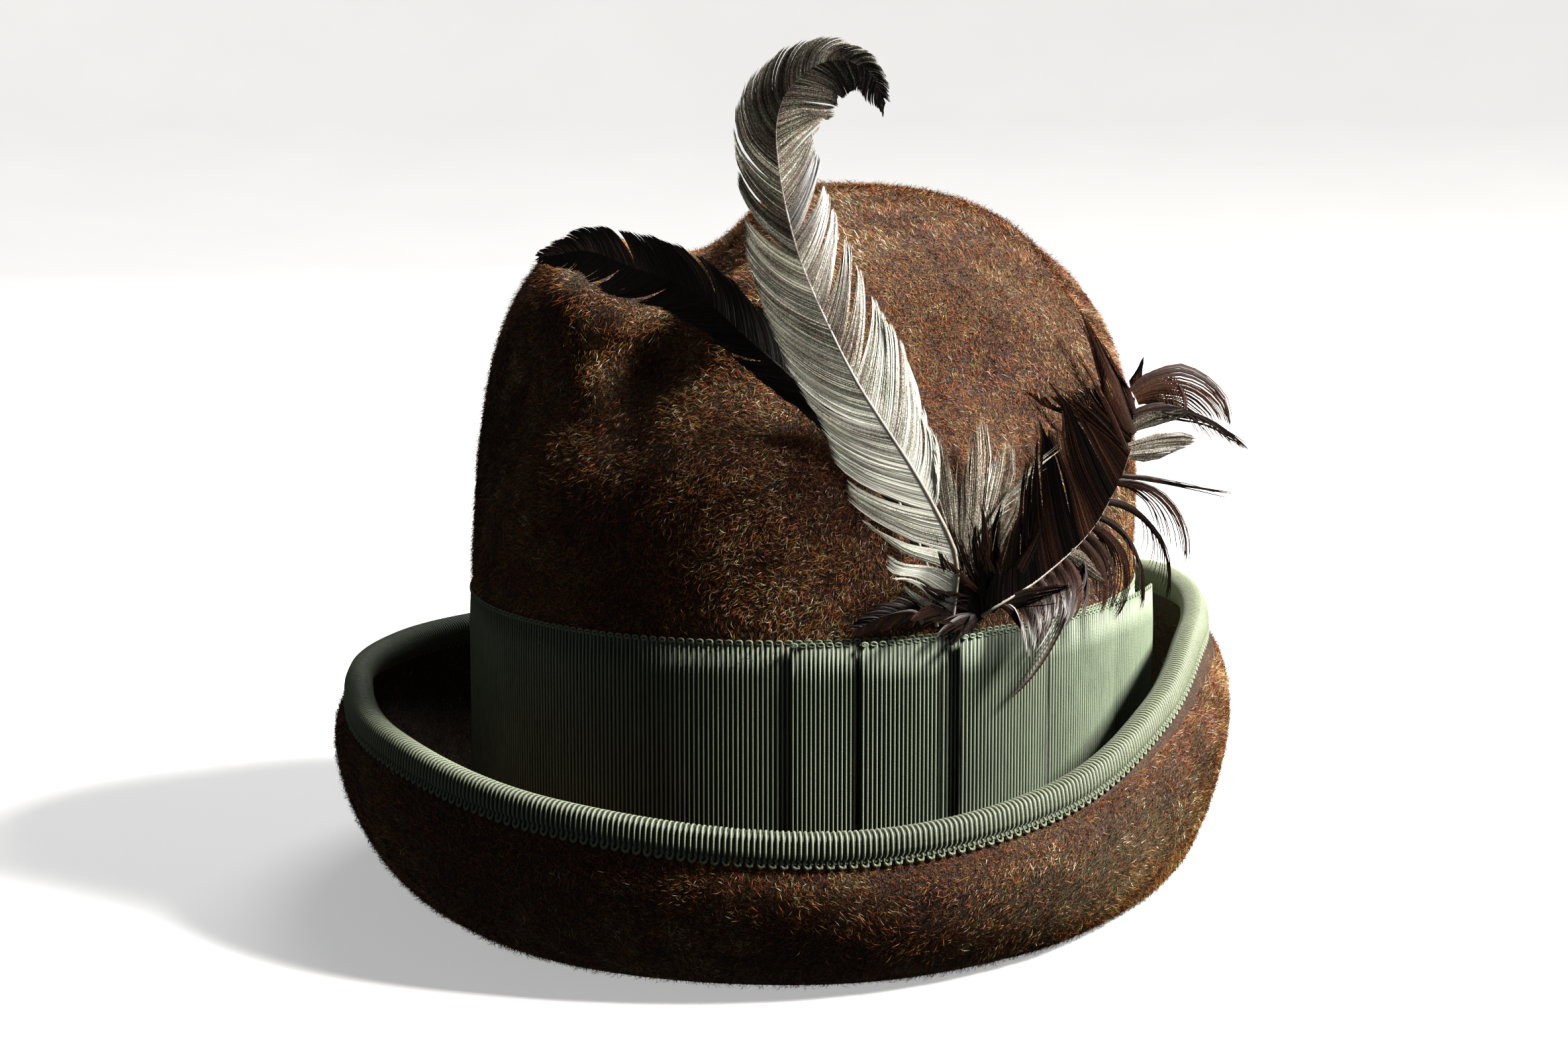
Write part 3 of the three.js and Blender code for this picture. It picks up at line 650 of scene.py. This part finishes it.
def cord_loops(shape, middle, beside, along, facing, wide, tall, tube):
    """A row of small upright loops of four-sided cord, one round each place in `middle`."""
    loops = []
    for way in np.linspace(0, 2 * math.pi, 9)[:-1]:
        spine = middle + beside * wide * math.cos(way) + along * tall * math.sin(way)
        spoke = unit(beside * math.cos(way) + along * math.sin(way))
        ring = [spine + tube * (spoke * math.cos(c) + facing * math.sin(c))
                for c in np.linspace(0, 2 * math.pi, 5)[:-1]]
        loops.append(np.stack(ring, axis=1))
    for loop in np.stack(loops, axis=1):
        shape.grid(loop, closed=(True, True), tone=0.9)


def picots(shape, turn, out, up):
    """Selvage loops that stand along a ribbon's top edge."""
    middle = place(turn, out, up)
    facing = outward(turn)
    beside = unit(np.cross(facing, [0, 0, 1.0]))
    cord_loops(shape, middle, beside, np.array([0, 0, 1.0]), facing, RIB * 0.72, 0.42, 0.24)


def ribs(count):
    """Columns across a ribbon's ribs: where each is, counted in ribs, and how proud, from 0 to 1."""
    at = (np.arange(count)[:, None] + RIB_SHAPE["at"]).ravel()
    return at, np.tile(RIB_SHAPE["proud"], count)


def pairs(count):
    """The middle of each pair of ribs, counted in ribs."""
    return 2 * np.arange(count // 2) + 1.0


def ribbed_wall(turn, at, proud, heights, edges, face, back, back_top):
    """A ribbon's ribbed face from foot to top, then its plain back: rows of points and their tones."""
    edge_proud, rise, drop = edges
    picot = np.abs(np.sin(np.pi * at / 2))
    # A row's tone is how proud its ribs stand; the ribbon's look paints low tones as shade, so grooves go
    # nearly black. Edge rows get 0.3 more and so less painted shade; the plain back rows, at 0, are painted
    # as dark as a groove.
    rows, tones = [], []
    for height in heights:
        edge = height in (heights[0], heights[-1])
        up = height + (picot * rise - drop if height == heights[-1] else 0)
        lift = face + proud * (edge_proud if edge else RIB_DEPTH)
        rows.append(place(turn, oval_out(turn, lift), up))
        tones.append(proud + (0.3 if edge else 0))
    for height in (back_top, heights[0]):
        rows.append(place(turn, oval_out(turn, back), height))
        tones.append(0 * at)
    return np.stack(rows), np.stack(tones)


def hat_band():
    girth = 2 * math.pi * math.sqrt((HALF_WIDTH ** 2 + HALF_LENGTH ** 2) / 2)
    count = 2 * round(girth / RIB / 2)
    at, proud = ribs(count)
    heights = np.linspace(BAND_BOTTOM, BAND_TOP, 8)
    wall, tones = ribbed_wall(-180 + 360 * at / count, at, proud, heights, BAND_EDGE,
                              BAND_LIFT + BAND_BODY, BAND_LIFT, BAND_TOP - SELVAGE)
    shape = Shape()
    shape.grid(wall, closed=(True, True), tone=tones)
    loops = -180 + 360 * pairs(count) / count
    picots(shape, loops, oval_out(loops, BAND_LIFT + 0.55), BAND_TOP - 0.1)
    return shape.piece("ribbon_band", [BAND_RIBBON], ["hat_band"])


# The bow's folds: where each starts and ends round the band, how far it lifts off it there, and the
# metres of ribbon along it.
BOW = [
    ("bow_fold_1", 12.5, 21.2, 0.3, 0.3, 0.015),
    ("bow_fold_2", 21.7, 33.4, 1.6, 0.6, 0.019),
    ("bow_fold_3", 36.4, 53.6, 1.8, 0.8, 0.027),
    ("bow_fold_4", 54.2, 76.0, 0.9, 0.5, 0.032),
    ("bow_fold_5", 76.6, 96.5, 0.6, 3.6, 0.029),
]


def pleat(number, node, start, end, lift_start, lift_end):
    """One fold of the bow: a loop of ribbon whose front edge rolls under."""
    arc = math.radians(end - start) * float(oval_out((start + end) / 2, 3))
    count = max(4, round(arc / RIB))
    at, proud = ribs(count)

    def under(share):
        return BAND_LIFT + RIBBON + lift_start + (lift_end - lift_start) * share

    share = at / at[-1]
    low, high = BAND_BOTTOM + SELVAGE, BAND_TOP - SELVAGE
    swell = 0.5 * np.sin(np.pi * np.minimum(share * 3, 1) / 2) - 0.5
    wall, tones = ribbed_wall(start + (end - start) * share, at, proud,
                              low + (high - low) * np.linspace(0, 1, 7), PLEAT_EDGE,
                              under(share) + swell + PLEAT_BODY, under(share), high)
    shape = Shape()
    shape.grid(wall, closed=(True, False), tone=tones)
    rows, columns = tones.shape
    for column, order in ((0, 1), (columns - 1, -1)):
        loop = (np.arange(rows) * columns + column)[::order]
        fan = [np.full(rows - 2, loop[0]), loop[2:], loop[1:-1], np.full(rows - 2, -1)]
        shape.close(np.stack(fan, axis=-1))
    share = pairs(count) / count
    loops = start + (end - start) * share
    picots(shape, loops, oval_out(loops, under(share) + 0.75), high + 0.1)
    return shape.piece(f"pleat_{number}", [BAND_RIBBON], [node])


band = hat_band()
for number, (*row, cut) in enumerate(BOW, 1):
    fold = pleat(number, *row)


# ---- bound edge ----
EDGE_RIB = 1.2  # from one rib of the narrow ribbon to the next
FOLD_TALL = 3.9  # how far the rounded fold reaches down from the rim
LOOP_TALL = 2.2  # height of the loops under it
# The fold's face from its foot to the rim: how far back it is in FOLD_TALLs, how proud it stands, how
# much of the ribs' depth it has and how much lighter it is. The second row is the stitched groove.
EDGE_FACE = table("back proud ribbed light", [
    (1.33, 0.2, 0.3, 0), (1.15, -0.1, 0.3, -0.6), (0.97, 0.7, 1, 0), (0.7, 1.0, 1, 0),
    (0.33, 1.05, 1, 0),
])


def rim_frame(turn, distances):
    """The brim's middle surface at distances back from the rim: points, normals and the way to the rim."""
    stops = np.linspace(5, 7, 33)
    line = brim_line(turn, stops)
    turned = brim_line(turn + 0.2, stops) - brim_line(turn - 0.2, stops)
    normals = unit(np.cross(np.gradient(line, axis=1), turned))
    steps = np.linalg.norm(np.diff(line, axis=1), axis=-1)
    from_rim = np.cumsum(steps[:, ::-1], axis=1)[:, ::-1]
    from_rim = np.concatenate([from_rim, np.zeros((len(turn), 1))], axis=1)
    points, lifted = (
        np.stack([between(run[::-1], row[::-1], distances) for run, row in zip(from_rim, grid)])
        for grid in (line, normals))
    return points, unit(lifted), unit(line[:, -1] - line[:, -2])


def rim_turns(pitch):
    """How many pitches go round the rim, and the turn at any number of them."""
    coarse = np.linspace(-180, 180, 721)
    rim = brim_line(coarse, np.array([7.0]))[:, 0]
    run = np.concatenate([[0], np.cumsum(np.linalg.norm(np.diff(rim, axis=0), axis=1))])
    count = 2 * round(run[-1] / pitch / 2)
    return count, lambda at: np.interp(at / count * run[-1], run, coarse)


def bound_edge():
    """The ribbon folded over the rim: a stitched groove, then a round fold, then the other side."""
    count, turn_at = rim_turns(EDGE_RIB)
    at, proud = ribs(count)
    points, normals, onward = rim_frame(turn_at(at), np.append(FOLD_TALL * EDGE_FACE["back"], 0.0))
    rim, rim_normal = points[:, -1], normals[:, -1]
    inner = FELT / 2 + GAP
    ridge = (RIB_DEPTH * proud)[:, None]
    lifts = [inner + 0.35 + stand + ridge * share
             for stand, share in zip(EDGE_FACE["proud"], EDGE_FACE["ribbed"])]
    above, below = ([points[:, k] + normals[:, k] * side * lift for k, lift in enumerate(lifts)]
                    for side in (1, -1))
    fold = [rim + (inner + 1.3 + ridge) * (rim_normal * math.cos(a) + onward * (0.62 * math.sin(a)))
            for a in np.radians([5, 30, 60, 90, 120, 150, 175])]
    rows = above + fold + below[::-1]
    # Here too, low tones become painted groove shade; the stitched groove's row is darker still, and the
    # three rows inside the fold, at 0, are painted as dark as a groove.
    tones = [proud + light for light in EDGE_FACE["light"]]
    tones = tones + [proud] * len(fold) + tones[::-1]
    foot = normals[:, 0] * inner
    rows += [points[:, 0] - foot, rim + onward * GAP, points[:, 0] + foot]
    tones += [0 * at] * 3
    shape = Shape()
    shape.grid(np.stack(rows)[::-1], closed=(True, True), tone=np.stack(tones)[::-1])
    return shape.piece("bound_edge", [EDGE_RIBBON], ["brim_binding"])


def edge_loops():
    """The ribbon's selvage: a small loop of cord for each two ribs, on both faces of the brim."""
    count, turn_at = rim_turns(EDGE_RIB)
    middle_back = np.array([FOLD_TALL + LOOP_TALL / 2])
    points, normals = (grid[:, 0] for grid in rim_frame(turn_at(pairs(count)), middle_back)[:2])
    beside = unit(np.roll(points, -1, axis=0) - np.roll(points, 1, axis=0))
    along = np.cross(beside, normals)
    shape = Shape()
    for side in (1, -1):
        middle = points + normals * side * (FELT / 2 + 0.55)
        cord_loops(shape, middle, beside, along, normals * side, EDGE_RIB * 0.62, LOOP_TALL / 2, 0.38)
    return shape.piece("edge_loops", [EDGE_RIBBON])


fold = bound_edge()
loops = edge_loops()


# ---- feathers ----
# A shaft, from its foot: where it runs, and the turn that the feather faces there.
ROW_NAMES = "turn out up face"
LONG_ROWS = table(ROW_NAMES, [
    (35.5, 91.4, 75, 32), (34.5, 98, 91, 22), (31, 100, 103, 22), (28, 100, 112, 21),
    (25, 100, 120, 20), (21, 99, 131, 20), (17.5, 96, 143, 18), (14, 90, 156, 17),
    (11.5, 83, 168, 16), (10, 78, 178, 16), (9.5, 75, 186, 16), (11, 73, 193, 16),
    (16, 71, 199, 17), (20.5, 70.5, 200.5, 18), (26, 71, 198, 20), (29, 71, 191, 20),
])
DARK_ROWS = table(ROW_NAMES, [
    (33.2, 91.9, 75, 33), (31, 94.5, 90, 31), (24, 95, 112, 24), (15, 93, 128, 15), (6, 88, 140, 6),
    (-3, 82, 149, -3), (-16, 77, 154, -10), (-29, 74, 157, -14), (-35, 74, 156, -16),
])
STUB_ROWS = table(ROW_NAMES, [
    (31, 92.4, 76, 30), (29, 96, 79.5, 28), (25, 97, 79, 26), (21, 97, 76, 24),
])
CURLY_ROWS = table(ROW_NAMES, [
    (39, 90.4, 75, 38), (41, 95, 79, 34), (46, 95.5, 83, 32), (51, 94, 86.5, 30),
    (57, 92.5, 91, 30), (62, 91, 95, 30), (67, 89.5, 100, 30), (72, 88, 104.5, 30),
    (76, 87, 109, 30), (79, 86, 115, 30), (82, 85, 124, 30),
])
SPLAYED_ROWS = table(ROW_NAMES, [(37.2, 90.8, 75, 37), (36.5, 94.5, 86, 28), (36, 96, 95, 25)])
# The vanes' edges: where a barb's tip stands along the shaft from its foot, how far out it reaches, its
# slant and how light it is. A slit is where it stands along the shaft and how wide it opens.
EDGE_NAMES = "tip out angle light"
# Light values near 1 on the lower left vane are partly painted light, for a vane that turns towards the
# lamp.
LONG_LEFT = table(EDGE_NAMES, [
    (5, 8, 66, 0.2), (14, 13, 47, 0.75), (25, 16, 41, 0.95), (31, 14.5, 37, 1.0), (37, 15, 35, 0.95),
    (42, 15.4, 35, 1.0), (48, 13.8, 34, 1.05), (64, 11.8, 31, 1.05), (78, 11.5, 30, 1.0),
    (94, 11.3, 30, 0.9), (108, 9.8, 30, 0.7), (122, 9.2, 30, 0.55), (133, 8.8, 32, 0.5),
    (141, 7.5, 34, 0.45), (147, 5.5, 34, 0.4), (152, 4, 34, 0.3), (158, 2.4, 34, 0.15), (166, 1.2, 30, 0.0),
])
# The low light values from about 95 to 140 are painted shade, for the part of the right vane that turns
# away from the lamp.
LONG_RIGHT = table(EDGE_NAMES, [
    (33, 1.2, 30, 0.75), (45, 8, 32, 0.9), (51, 8.2, 32, 0.95), (59, 11.2, 32, 0.95), (68, 13, 32, 0.9),
    (78, 11.6, 30, 0.8), (85, 11.2, 30, 0.6), (95, 11, 30, 0.35), (108, 9.8, 30, 0.2), (119, 8.6, 32, 0.2),
    (126, 8.5, 34, 0.3), (133, 10.3, 38, 0.35), (140, 11.3, 42, 0.35), (148, 9.5, 40, 0.3),
    (156, 7.6, 36, 0.15), (162, 4, 32, 0.05), (168, 1.5, 30, 0.0),
])
LONG_LEFT_SLITS = [
    (17, 4), (24, 3), (33, 5), (41, 3.5), (50, 2.5), (72, 1.2), (112, 3), (120, 2), (128, 1.5)]
LONG_RIGHT_SLITS = [
    (54, 2.5), (70, 1.5), (84, 3.5), (91, 3), (99, 3.5), (107, 2), (115, 4), (131, 2), (145, 1.5)]
DARK_LEFT = table(EDGE_NAMES, [
    (20, 1.5, 28, 0.2), (47, 3.5, 26, 0.2), (71, 5, 26, 0.2), (91, 6, 28, 0.3), (110, 7.5, 30, 0.4),
    (126, 8, 32, 0.6), (137, 6, 32, 0.6), (146, 3, 30, 0.4), (152, 1, 30, 0.3),
])
DARK_RIGHT = table(EDGE_NAMES, [
    (20, 1.5, 28, 0.2), (47, 3.5, 26, 0.2), (71, 5.5, 26, 0.2), (92, 7, 28, 0.3), (111, 8, 30, 0.3),
    (127, 7, 32, 0.4), (138, 5, 32, 0.5), (146, 3, 30, 0.4), (152, 1, 30, 0.3),
])
STUB_EDGE = table(EDGE_NAMES, [(4, 1.5, 30, 0.0), (9, 3.2, 28, 0.05), (16, 2.8, 26, 0.2), (22, 1, 26, 0.1)])
CURLY_VANE = table(EDGE_NAMES, [
    (10, 6, 50, 0.1), (16, 13, 54, 0.0), (26, 21, 60, 0.2), (30, 24, 62, 0.0), (36, 28, 65, 0.3),
    (42, 32, 67, 0.3), (45, 33, 68, 0.1), (48, 29, 66, 0.0), (51, 24, 62, 0.2), (56, 24, 60, 0.4),
    (61, 28, 61, 0.3), (66, 34, 63, 0.45), (69, 26, 62, 0.2), (73, 25, 60, 0.3), (77, 28, 60, 0.45),
    (82, 34, 62, 0.5), (84, 22, 58, 0.4), (87, 10, 50, 0.3), (89, 3, 40, 0.3),
])
CURLY_SLITS = [
    (18, 2), (27, 2.5), (33, 1.5), (39, 3), (49, 5), (55, 1.5), (60, 1.5), (71, 6), (76, 1.5), (83, 2)]
# Loose locks: the row of the shaft that each leaves, its angle to it and how many degrees it curls,
# its length and width, how far its tip lifts and how light it is.
LOCK_NAMES = "at angle length curl width lift light"
CURLY_LOCKS = table(LOCK_NAMES, [
    (0.3, 106, 21, 28, 5, 9, 0.1), (0.4, 88, 22, 20, 5, 10, 0.0), (0.5, 72, 23, 14, 5, 10, 0.2),
    (0.5, 58, 26, 14, 5, 8, 0.1), (0.7, 44, 27, 20, 4, 7, 0.2), (0.6, 30, 26, 10, 4, 4, 0.0),
    (0.8, 10, 24, 20, 5, 5, 0.2), (0.5, 132, 14, 20, 2.4, 5, 0.2), (0.5, 150, 12, 10, 3, 6, 0.1),
    (1.0, 70, 22, 10, 5, 7, 0.1), (1.2, -20, 16, 10, 4, 5, 0.1), (2.3, 84, 30, -16, 1.6, 9, 0.2),
    (7.9, 58, 31, 18, 1.4, 9, 0.3), (8.6, 48, 34, -4, 6, 5, 0.4), (9.3, 36, 24, 14, 3, 3, 0.25),
    (9.9, 14, 8, -20, 3, 2, 0.4), (9.7, -42, 30, -108, 9, 0, 0.4), (9.2, -56, 33, -74, 5, 1, 0.2),
    (9.9, -30, 19, -160, 4, 2, 0.5), (6.9, -52, 30, -6, 1.2, 1, 0.2),
    (6.6, -44, 30, -95, 2.8, 0, 0.3), (5.8, -50, 34, -100, 2.8, -3, 0.3),
    (5.2, -60, 27, -90, 2.4, 1, 0.2), (4.8, -62, 26, -96, 3, -2, 0.3),
    (4.4, -66, 20, -80, 2.6, 2, 0.2), (4.1, -70, 19, -70, 3, 1, 0.4),
    (3.7, -66, 17, -96, 2.4, 4, 0.2), (3.4, -70, 15, -90, 2.4, 4, 0.4),
    (3.1, -66, 15, -96, 2.4, 5, 0.2), (2.8, -70, 13, -90, 2.4, 5, 0.3),
    (2.4, -66, 13, -96, 2.4, 5, 0.2), (2.0, -62, 13, -96, 2.4, 5, 0.3),
    (1.6, -56, 14, -90, 2.4, 5, 0.2), (1.2, -50, 14, -90, 2.4, 5, 0.3),
    (3.9, -120, 40, -60, 2.2, 10, 0.2),
])
CURLY_GREY = table(LOCK_NAMES, [
    (8.0, -52, 17, -6, 6, 1, 0.35), (8.9, -46, 14, -24, 4, 1, 0.25),
    (3.6, -58, 12, -10, 4, -2, 0.2),
])
SPLAYED_LOCKS = table(LOCK_NAMES, [
    (0.6, 3, 37, 0, 6, -2, 0.4), (0.8, -10, 37, 2, 8, -3, 0.45), (0.8, -23, 34, 4, 9, -4, 0.5),
    (0.7, -36, 27, 6, 7, -3, 0.35), (0.9, -18, 39, -46, 2, -2, 0.6),
])


SHAFT_STEPS = 40
PAST_TIP = 14  # how far a shaft's line is carried past its tip
VANE_STEPS = 9
VANE_BARB_WIDE = 0.42
LOCK_STEPS = 11
LOCK_BARB_WIDE = 0.36
LOCK_BARBS = 6  # for each millimetre of a lock's width


def shaft_frame(rows, at):
    """A shaft's point, its way along, its left and the way it faces, at places counted in rows."""
    points = place(rows["turn"], rows["out"], rows["up"])
    last = len(points) - 1
    at = np.clip(at, 0, last)
    spot, after, before = (smooth_line(points, np.clip(at + step, 0, last)) for step in (0, 0.02, -0.02))
    ahead = after - before
    face = outward(np.interp(at, np.arange(last + 1), rows["face"]))
    along = unit(ahead - (ahead * face).sum(axis=-1, keepdims=True) * face)
    return spot, along, np.cross(face, along), face


def shaft_tube(shape, rows, thick):
    """The shaft itself: a tapering tube, a little deeper than it is wide."""
    last = len(rows["turn"]) - 1
    at = np.linspace(0, last, SHAFT_STEPS)
    spot, _, left, face = shaft_frame(rows, at)
    ways = np.linspace(0, 2 * math.pi, 9)[:-1]
    radius = (thick / 2 * (1 - 0.8 * at / last))[:, None]
    rings = [spot + radius * (left * math.cos(way) + face * 1.1 * math.sin(way)) for way in ways]
    tone = (at / last)[::-1, None]
    shape.grid(np.stack(rings, axis=1)[::-1], closed=(False, True), tone=tone, finish=1)


def shaft_line(rows):
    """A shaft as a fine line, carried past its tip: distances from the foot, points, left and face."""
    spot, along, left, face = shaft_frame(rows, np.linspace(0, len(rows["turn"]) - 1, 300))
    spot = np.concatenate([spot, spot[-1] + along[-1] * np.arange(1, PAST_TIP + 1)[:, None]])
    left, face = (np.concatenate([way, np.repeat(way[-1:], PAST_TIP, axis=0)]) for way in (left, face))
    run = np.concatenate([[0], np.cumsum(np.linalg.norm(np.diff(spot, axis=0), axis=1))])
    return run, spot, left, face


def vane(shape, shaft, way, cup, edge, slits, barbs, draw, contrast):
    """One side of a feather. Barbs leave the shaft at a slant, bend towards the tip and end at the edge;
    at each slit their ends part."""
    tips = np.linspace(edge["tip"][0], edge["tip"][-1], barbs)
    out, angle, light = (np.interp(tips, edge["tip"], edge[name]) for name in ("out", "angle", "light"))
    start = np.maximum(tips - out / np.tan(np.radians(angle)), 0.6)
    here = np.stack([tips, 0 * tips, 0 * tips], axis=-1)
    ragged = 0.35 * waves(here, 2.4, "ragged" + str(way))
    out = np.maximum(out + ragged + draw.normal(0, 0.12, barbs), 0.4)
    shift = draw.normal(0, 0.1, barbs)
    for place_at, gap in slits:
        away = tips - place_at
        near = np.exp(-np.abs(away) / (1.5 + gap))
        shift = shift + np.sign(away) * gap / 2 / np.sin(np.radians(angle)) * near
    share = np.linspace(0, 1, VANE_STEPS)[None, :]
    run = start[:, None] + (tips - start)[:, None] * (0.75 * share + 0.25 * share ** 2)
    run = run + shift[:, None] * share ** 1.4
    spot, left, face = (between(shaft[0], value, run) for value in shaft[1:])
    aside = out[:, None] * (1 - (1 - share) ** 1.35)
    rise = 0.25 + cup * (aside / 12) ** 1.5 + draw.normal(0, 0.12, (barbs, 1)) * share
    rise = rise + 0.5 * waves(here, 9, "ripple" + str(way))[:, None] * share
    paths = spot + way * left * aside[..., None] + face * rise[..., None]
    tangent = unit(np.gradient(paths, axis=1))
    flat = np.cross(face, tangent)
    across = unit(flat - (face * 0.3 * way) + face * draw.normal(0, 0.13, (barbs, 1, 1)))
    streaks = contrast * (0.1 * waves(here, 0.9, "fine streaks") + 0.09 * waves(here, 3, "streaks"))
    strips(shape, paths, across, VANE_BARB_WIDE * (1 - 0.4 * share ** 3), 0, light + streaks)


def lock_barbs(shape, rows, finish, locks, fullness, draw):
    """Loose locks: each a cupped sheet of barbs that leave the shaft side by side and close to a tip."""
    share = np.linspace(0, 1, LOCK_STEPS)
    for number in range(len(locks["at"])):
        lean_to = draw.choice([-1, 1])
        at, angle, length, curl, wide, lift, light = (locks[key][number] for key in LOCK_NAMES.split())
        count = max(4, round(wide * LOCK_BARBS))
        offset = np.linspace(-1, 1, count)
        spot, along, left, face = (value[0] for value in shaft_frame(rows, np.array([at])))
        stray = draw.normal(0, 1, (count, 1)) * (draw.uniform(size=(count, 1)) < 0.07)
        lean = angle + draw.normal(0, 0.5, (count, 1)) + 8 * stray
        bend = curl * (1 + 0.12 * stray) + draw.normal(0, 1, (count, 1))
        heading = np.radians(lean + bend * (share[None, 1:] - 0.5 / (LOCK_STEPS - 1)))
        ends = 1 - 0.28 * np.clip(offset[:, None] * lean_to + 0.4, 0, 1.4) ** 1.5
        far = length * ends * draw.uniform(0.98, 1.02, (count, 1))
        step = along * np.cos(heading)[..., None] + left * np.sin(heading)[..., None]
        run = np.cumsum(step * (far / (LOCK_STEPS - 1))[..., None], axis=1)
        paths = np.concatenate([np.zeros((count, 1, 3)), run], axis=1)
        paths = paths + spot + face * (lift * share ** 2)[None, :, None]
        aside = unit(np.cross(face, unit(np.gradient(paths, axis=1))))
        body = np.interp(share, (0, 0.4, 0.8, 1), fullness)
        paths = paths + aside * (offset[:, None] * wide / 2 * body)[..., None]
        cup = -0.12 * wide * offset[:, None] ** 2 * body + 0.5 * stray * share
        paths = paths + face * (cup + draw.normal(0, 0.06, (count, 1)) * share)[..., None]
        roll = draw.uniform(-0.15, 0.15, (count, 1, 1)) - 0.35 * offset[:, None, None]
        across = unit(aside + face * roll)
        tone = light + draw.normal(0, 0.1, count)
        strips(shape, paths, across, LOCK_BARB_WIDE * (1 - 0.5 * share ** 2), finish, tone)


def feather(name, node, rows, thick, looks, vanes, bundles=(), contrast=1.0):
    """A shaft with its vanes and with bundles of locks, each of its own finish and fullness."""
    draw = random(name)
    shape = Shape()
    for row in vanes:
        vane(shape, shaft_line(rows), *row, draw, contrast)
    for bundle in bundles:
        lock_barbs(shape, rows, *bundle, draw)
    shaft_tube(shape, rows, thick)
    return shape.piece(name, looks, [node])


feather("long_plume", "long_feather", LONG_ROWS, 1.2, [SILVERY_GLINT_BARBS, QUILL], [
    (1, 5.0, LONG_LEFT, LONG_LEFT_SLITS, 620),
    (-1, -1.5, LONG_RIGHT, LONG_RIGHT_SLITS, 560),
])
feather("dark_plume", "dark_feather", DARK_ROWS, 1.0, [BLACK_BARBS, QUILL], [
    (1, -2.0, DARK_LEFT, [(84, 1.6), (118, 2.5), (132, 2)], 480),
    (-1, -2.0, DARK_RIGHT, [(76, 1.6), (105, 2), (128, 2)], 480),
])
feather("broken_plume", "feather_stub", STUB_ROWS, 1.2, [DARK_BARBS, QUILL], [
    (1, 1.0, STUB_EDGE, [(9, 1.0)], 70),
    (-1, 1.0, STUB_EDGE, [(12, 1.2)], 70),
])
feather("curled_plume", "curly_feather", CURLY_ROWS, 1.0,
        [DARK_BARBS, QUILL, SILVERY_GLINT_BARBS], [(1, 3.2, CURLY_VANE, CURLY_SLITS, 560)], [
            (0, CURLY_LOCKS, (0.5, 1, 0.6, 0.05)),
            (2, CURLY_GREY, (0.6, 1, 0.9, 0.5)),
        ], contrast=2.0)
feather("splayed_tuft", "splayed_feather", SPLAYED_ROWS, 0.9, [SILVERY_GLINT_BARBS, QUILL], [], [
    (0, SPLAYED_LOCKS, (0.4, 0.9, 1, 0.55)),
])


# ---- studio ----
def studio_look():
    look = Look("studio_paper")
    grain = look.noise(9, 2)
    tint = look.ramp(grain, [(0.3, (0.80, 0.80, 0.79)), (0.7, (0.83, 0.83, 0.82))])
    return look.finish(Base_Color=tint, Roughness=0.9,
                       Emission_Color=(1, 1, 1), Emission_Strength=0.42)


def studio_sweep():
    """A round floor that curves up into a wall on every side. It shows, but throws no light back."""
    profile = [(0.5, 0.0), (1.4, 0.0), (2.2, 0.02), (2.8, 0.14), (3.2, 0.4), (3.4, 0.85), (3.45, 2.2)]
    steps = 64
    mesh = bpy.data.meshes.new("studio_sweep")
    points = [(r * math.cos(2 * math.pi * i / steps), r * math.sin(2 * math.pi * i / steps), z)
              for r, z in profile for i in range(steps)]
    faces = [tuple(range(steps))]
    for ring in range(len(profile) - 1):
        for i in range(steps):
            corners = (0, i), (1, i), (1, (i + 1) % steps), (0, (i + 1) % steps)
            faces.append([(ring + up) * steps + side for up, side in corners])
    mesh.from_pydata(points, [], faces)
    mesh.shade_smooth()
    mesh.materials.append(studio_look())
    sweep = put_in("studio_sweep", mesh)
    sweep.visible_diffuse = False
    sweep.visible_glossy = False


def way_from(azimuth, elevation):
    """The way from the hat to an azimuth, from the front to its left, and an elevation."""
    a, e = math.radians(azimuth), math.radians(elevation)
    return Vector((math.sin(a) * math.cos(e), -math.cos(a) * math.cos(e), math.sin(e)))


def set_up(name, data, spot, back):
    """A lamp or a camera at a spot, looking the other way from `back`."""
    made = put_in(name, data)
    made.location = spot
    made.rotation_mode = "QUATERNION"
    made.rotation_quaternion = (-back).to_track_quat("-Z", "Y")
    return made


def soft_light(name, azimuth, elevation, distance, size, power, tint=(1, 1, 1)):
    """A square soft box that faces the crown."""
    back = way_from(azimuth, elevation)
    data = bpy.data.lights.new(name, "AREA")
    data.size = size
    data.energy = power
    data.color = tint
    set_up(name, data, Vector((0, 0, 0.09)) + back * distance, back)


def camera(azimuth, elevation, distance, height, aside, lens):
    """Looks at a height on the head opening's axis, from `aside` to the left of the line to it."""
    back = way_from(azimuth, elevation)
    aim = Vector((HEAD_AXIS[0] * MM, HEAD_AXIS[1] * MM, height))
    data = bpy.data.cameras.new("camera")
    data.sensor_width = 36
    data.lens = lens
    spot = aim + back * distance - way_from(azimuth + 90, 0) * aside
    scene.camera = set_up("camera", data, spot, back)


def world():
    made = bpy.data.worlds.new("studio")
    scene.world = made
    made.use_nodes = True
    background = made.node_tree.nodes["Background"]
    background.inputs["Color"].default_value = (0.93, 0.96, 1.0, 1)
    background.inputs["Strength"].default_value = 0.06


studio_sweep()
soft_light("key", 90, 42, 1.9, 0.4, 142, (1, 0.97, 0.93))
soft_light("back", 175, 50, 2.0, 1.0, 18)
world()
camera(azimuth=15, elevation=8, distance=0.8, height=0.087, aside=0.005466, lens=73.43)
scene.view_settings.view_transform = "Standard"
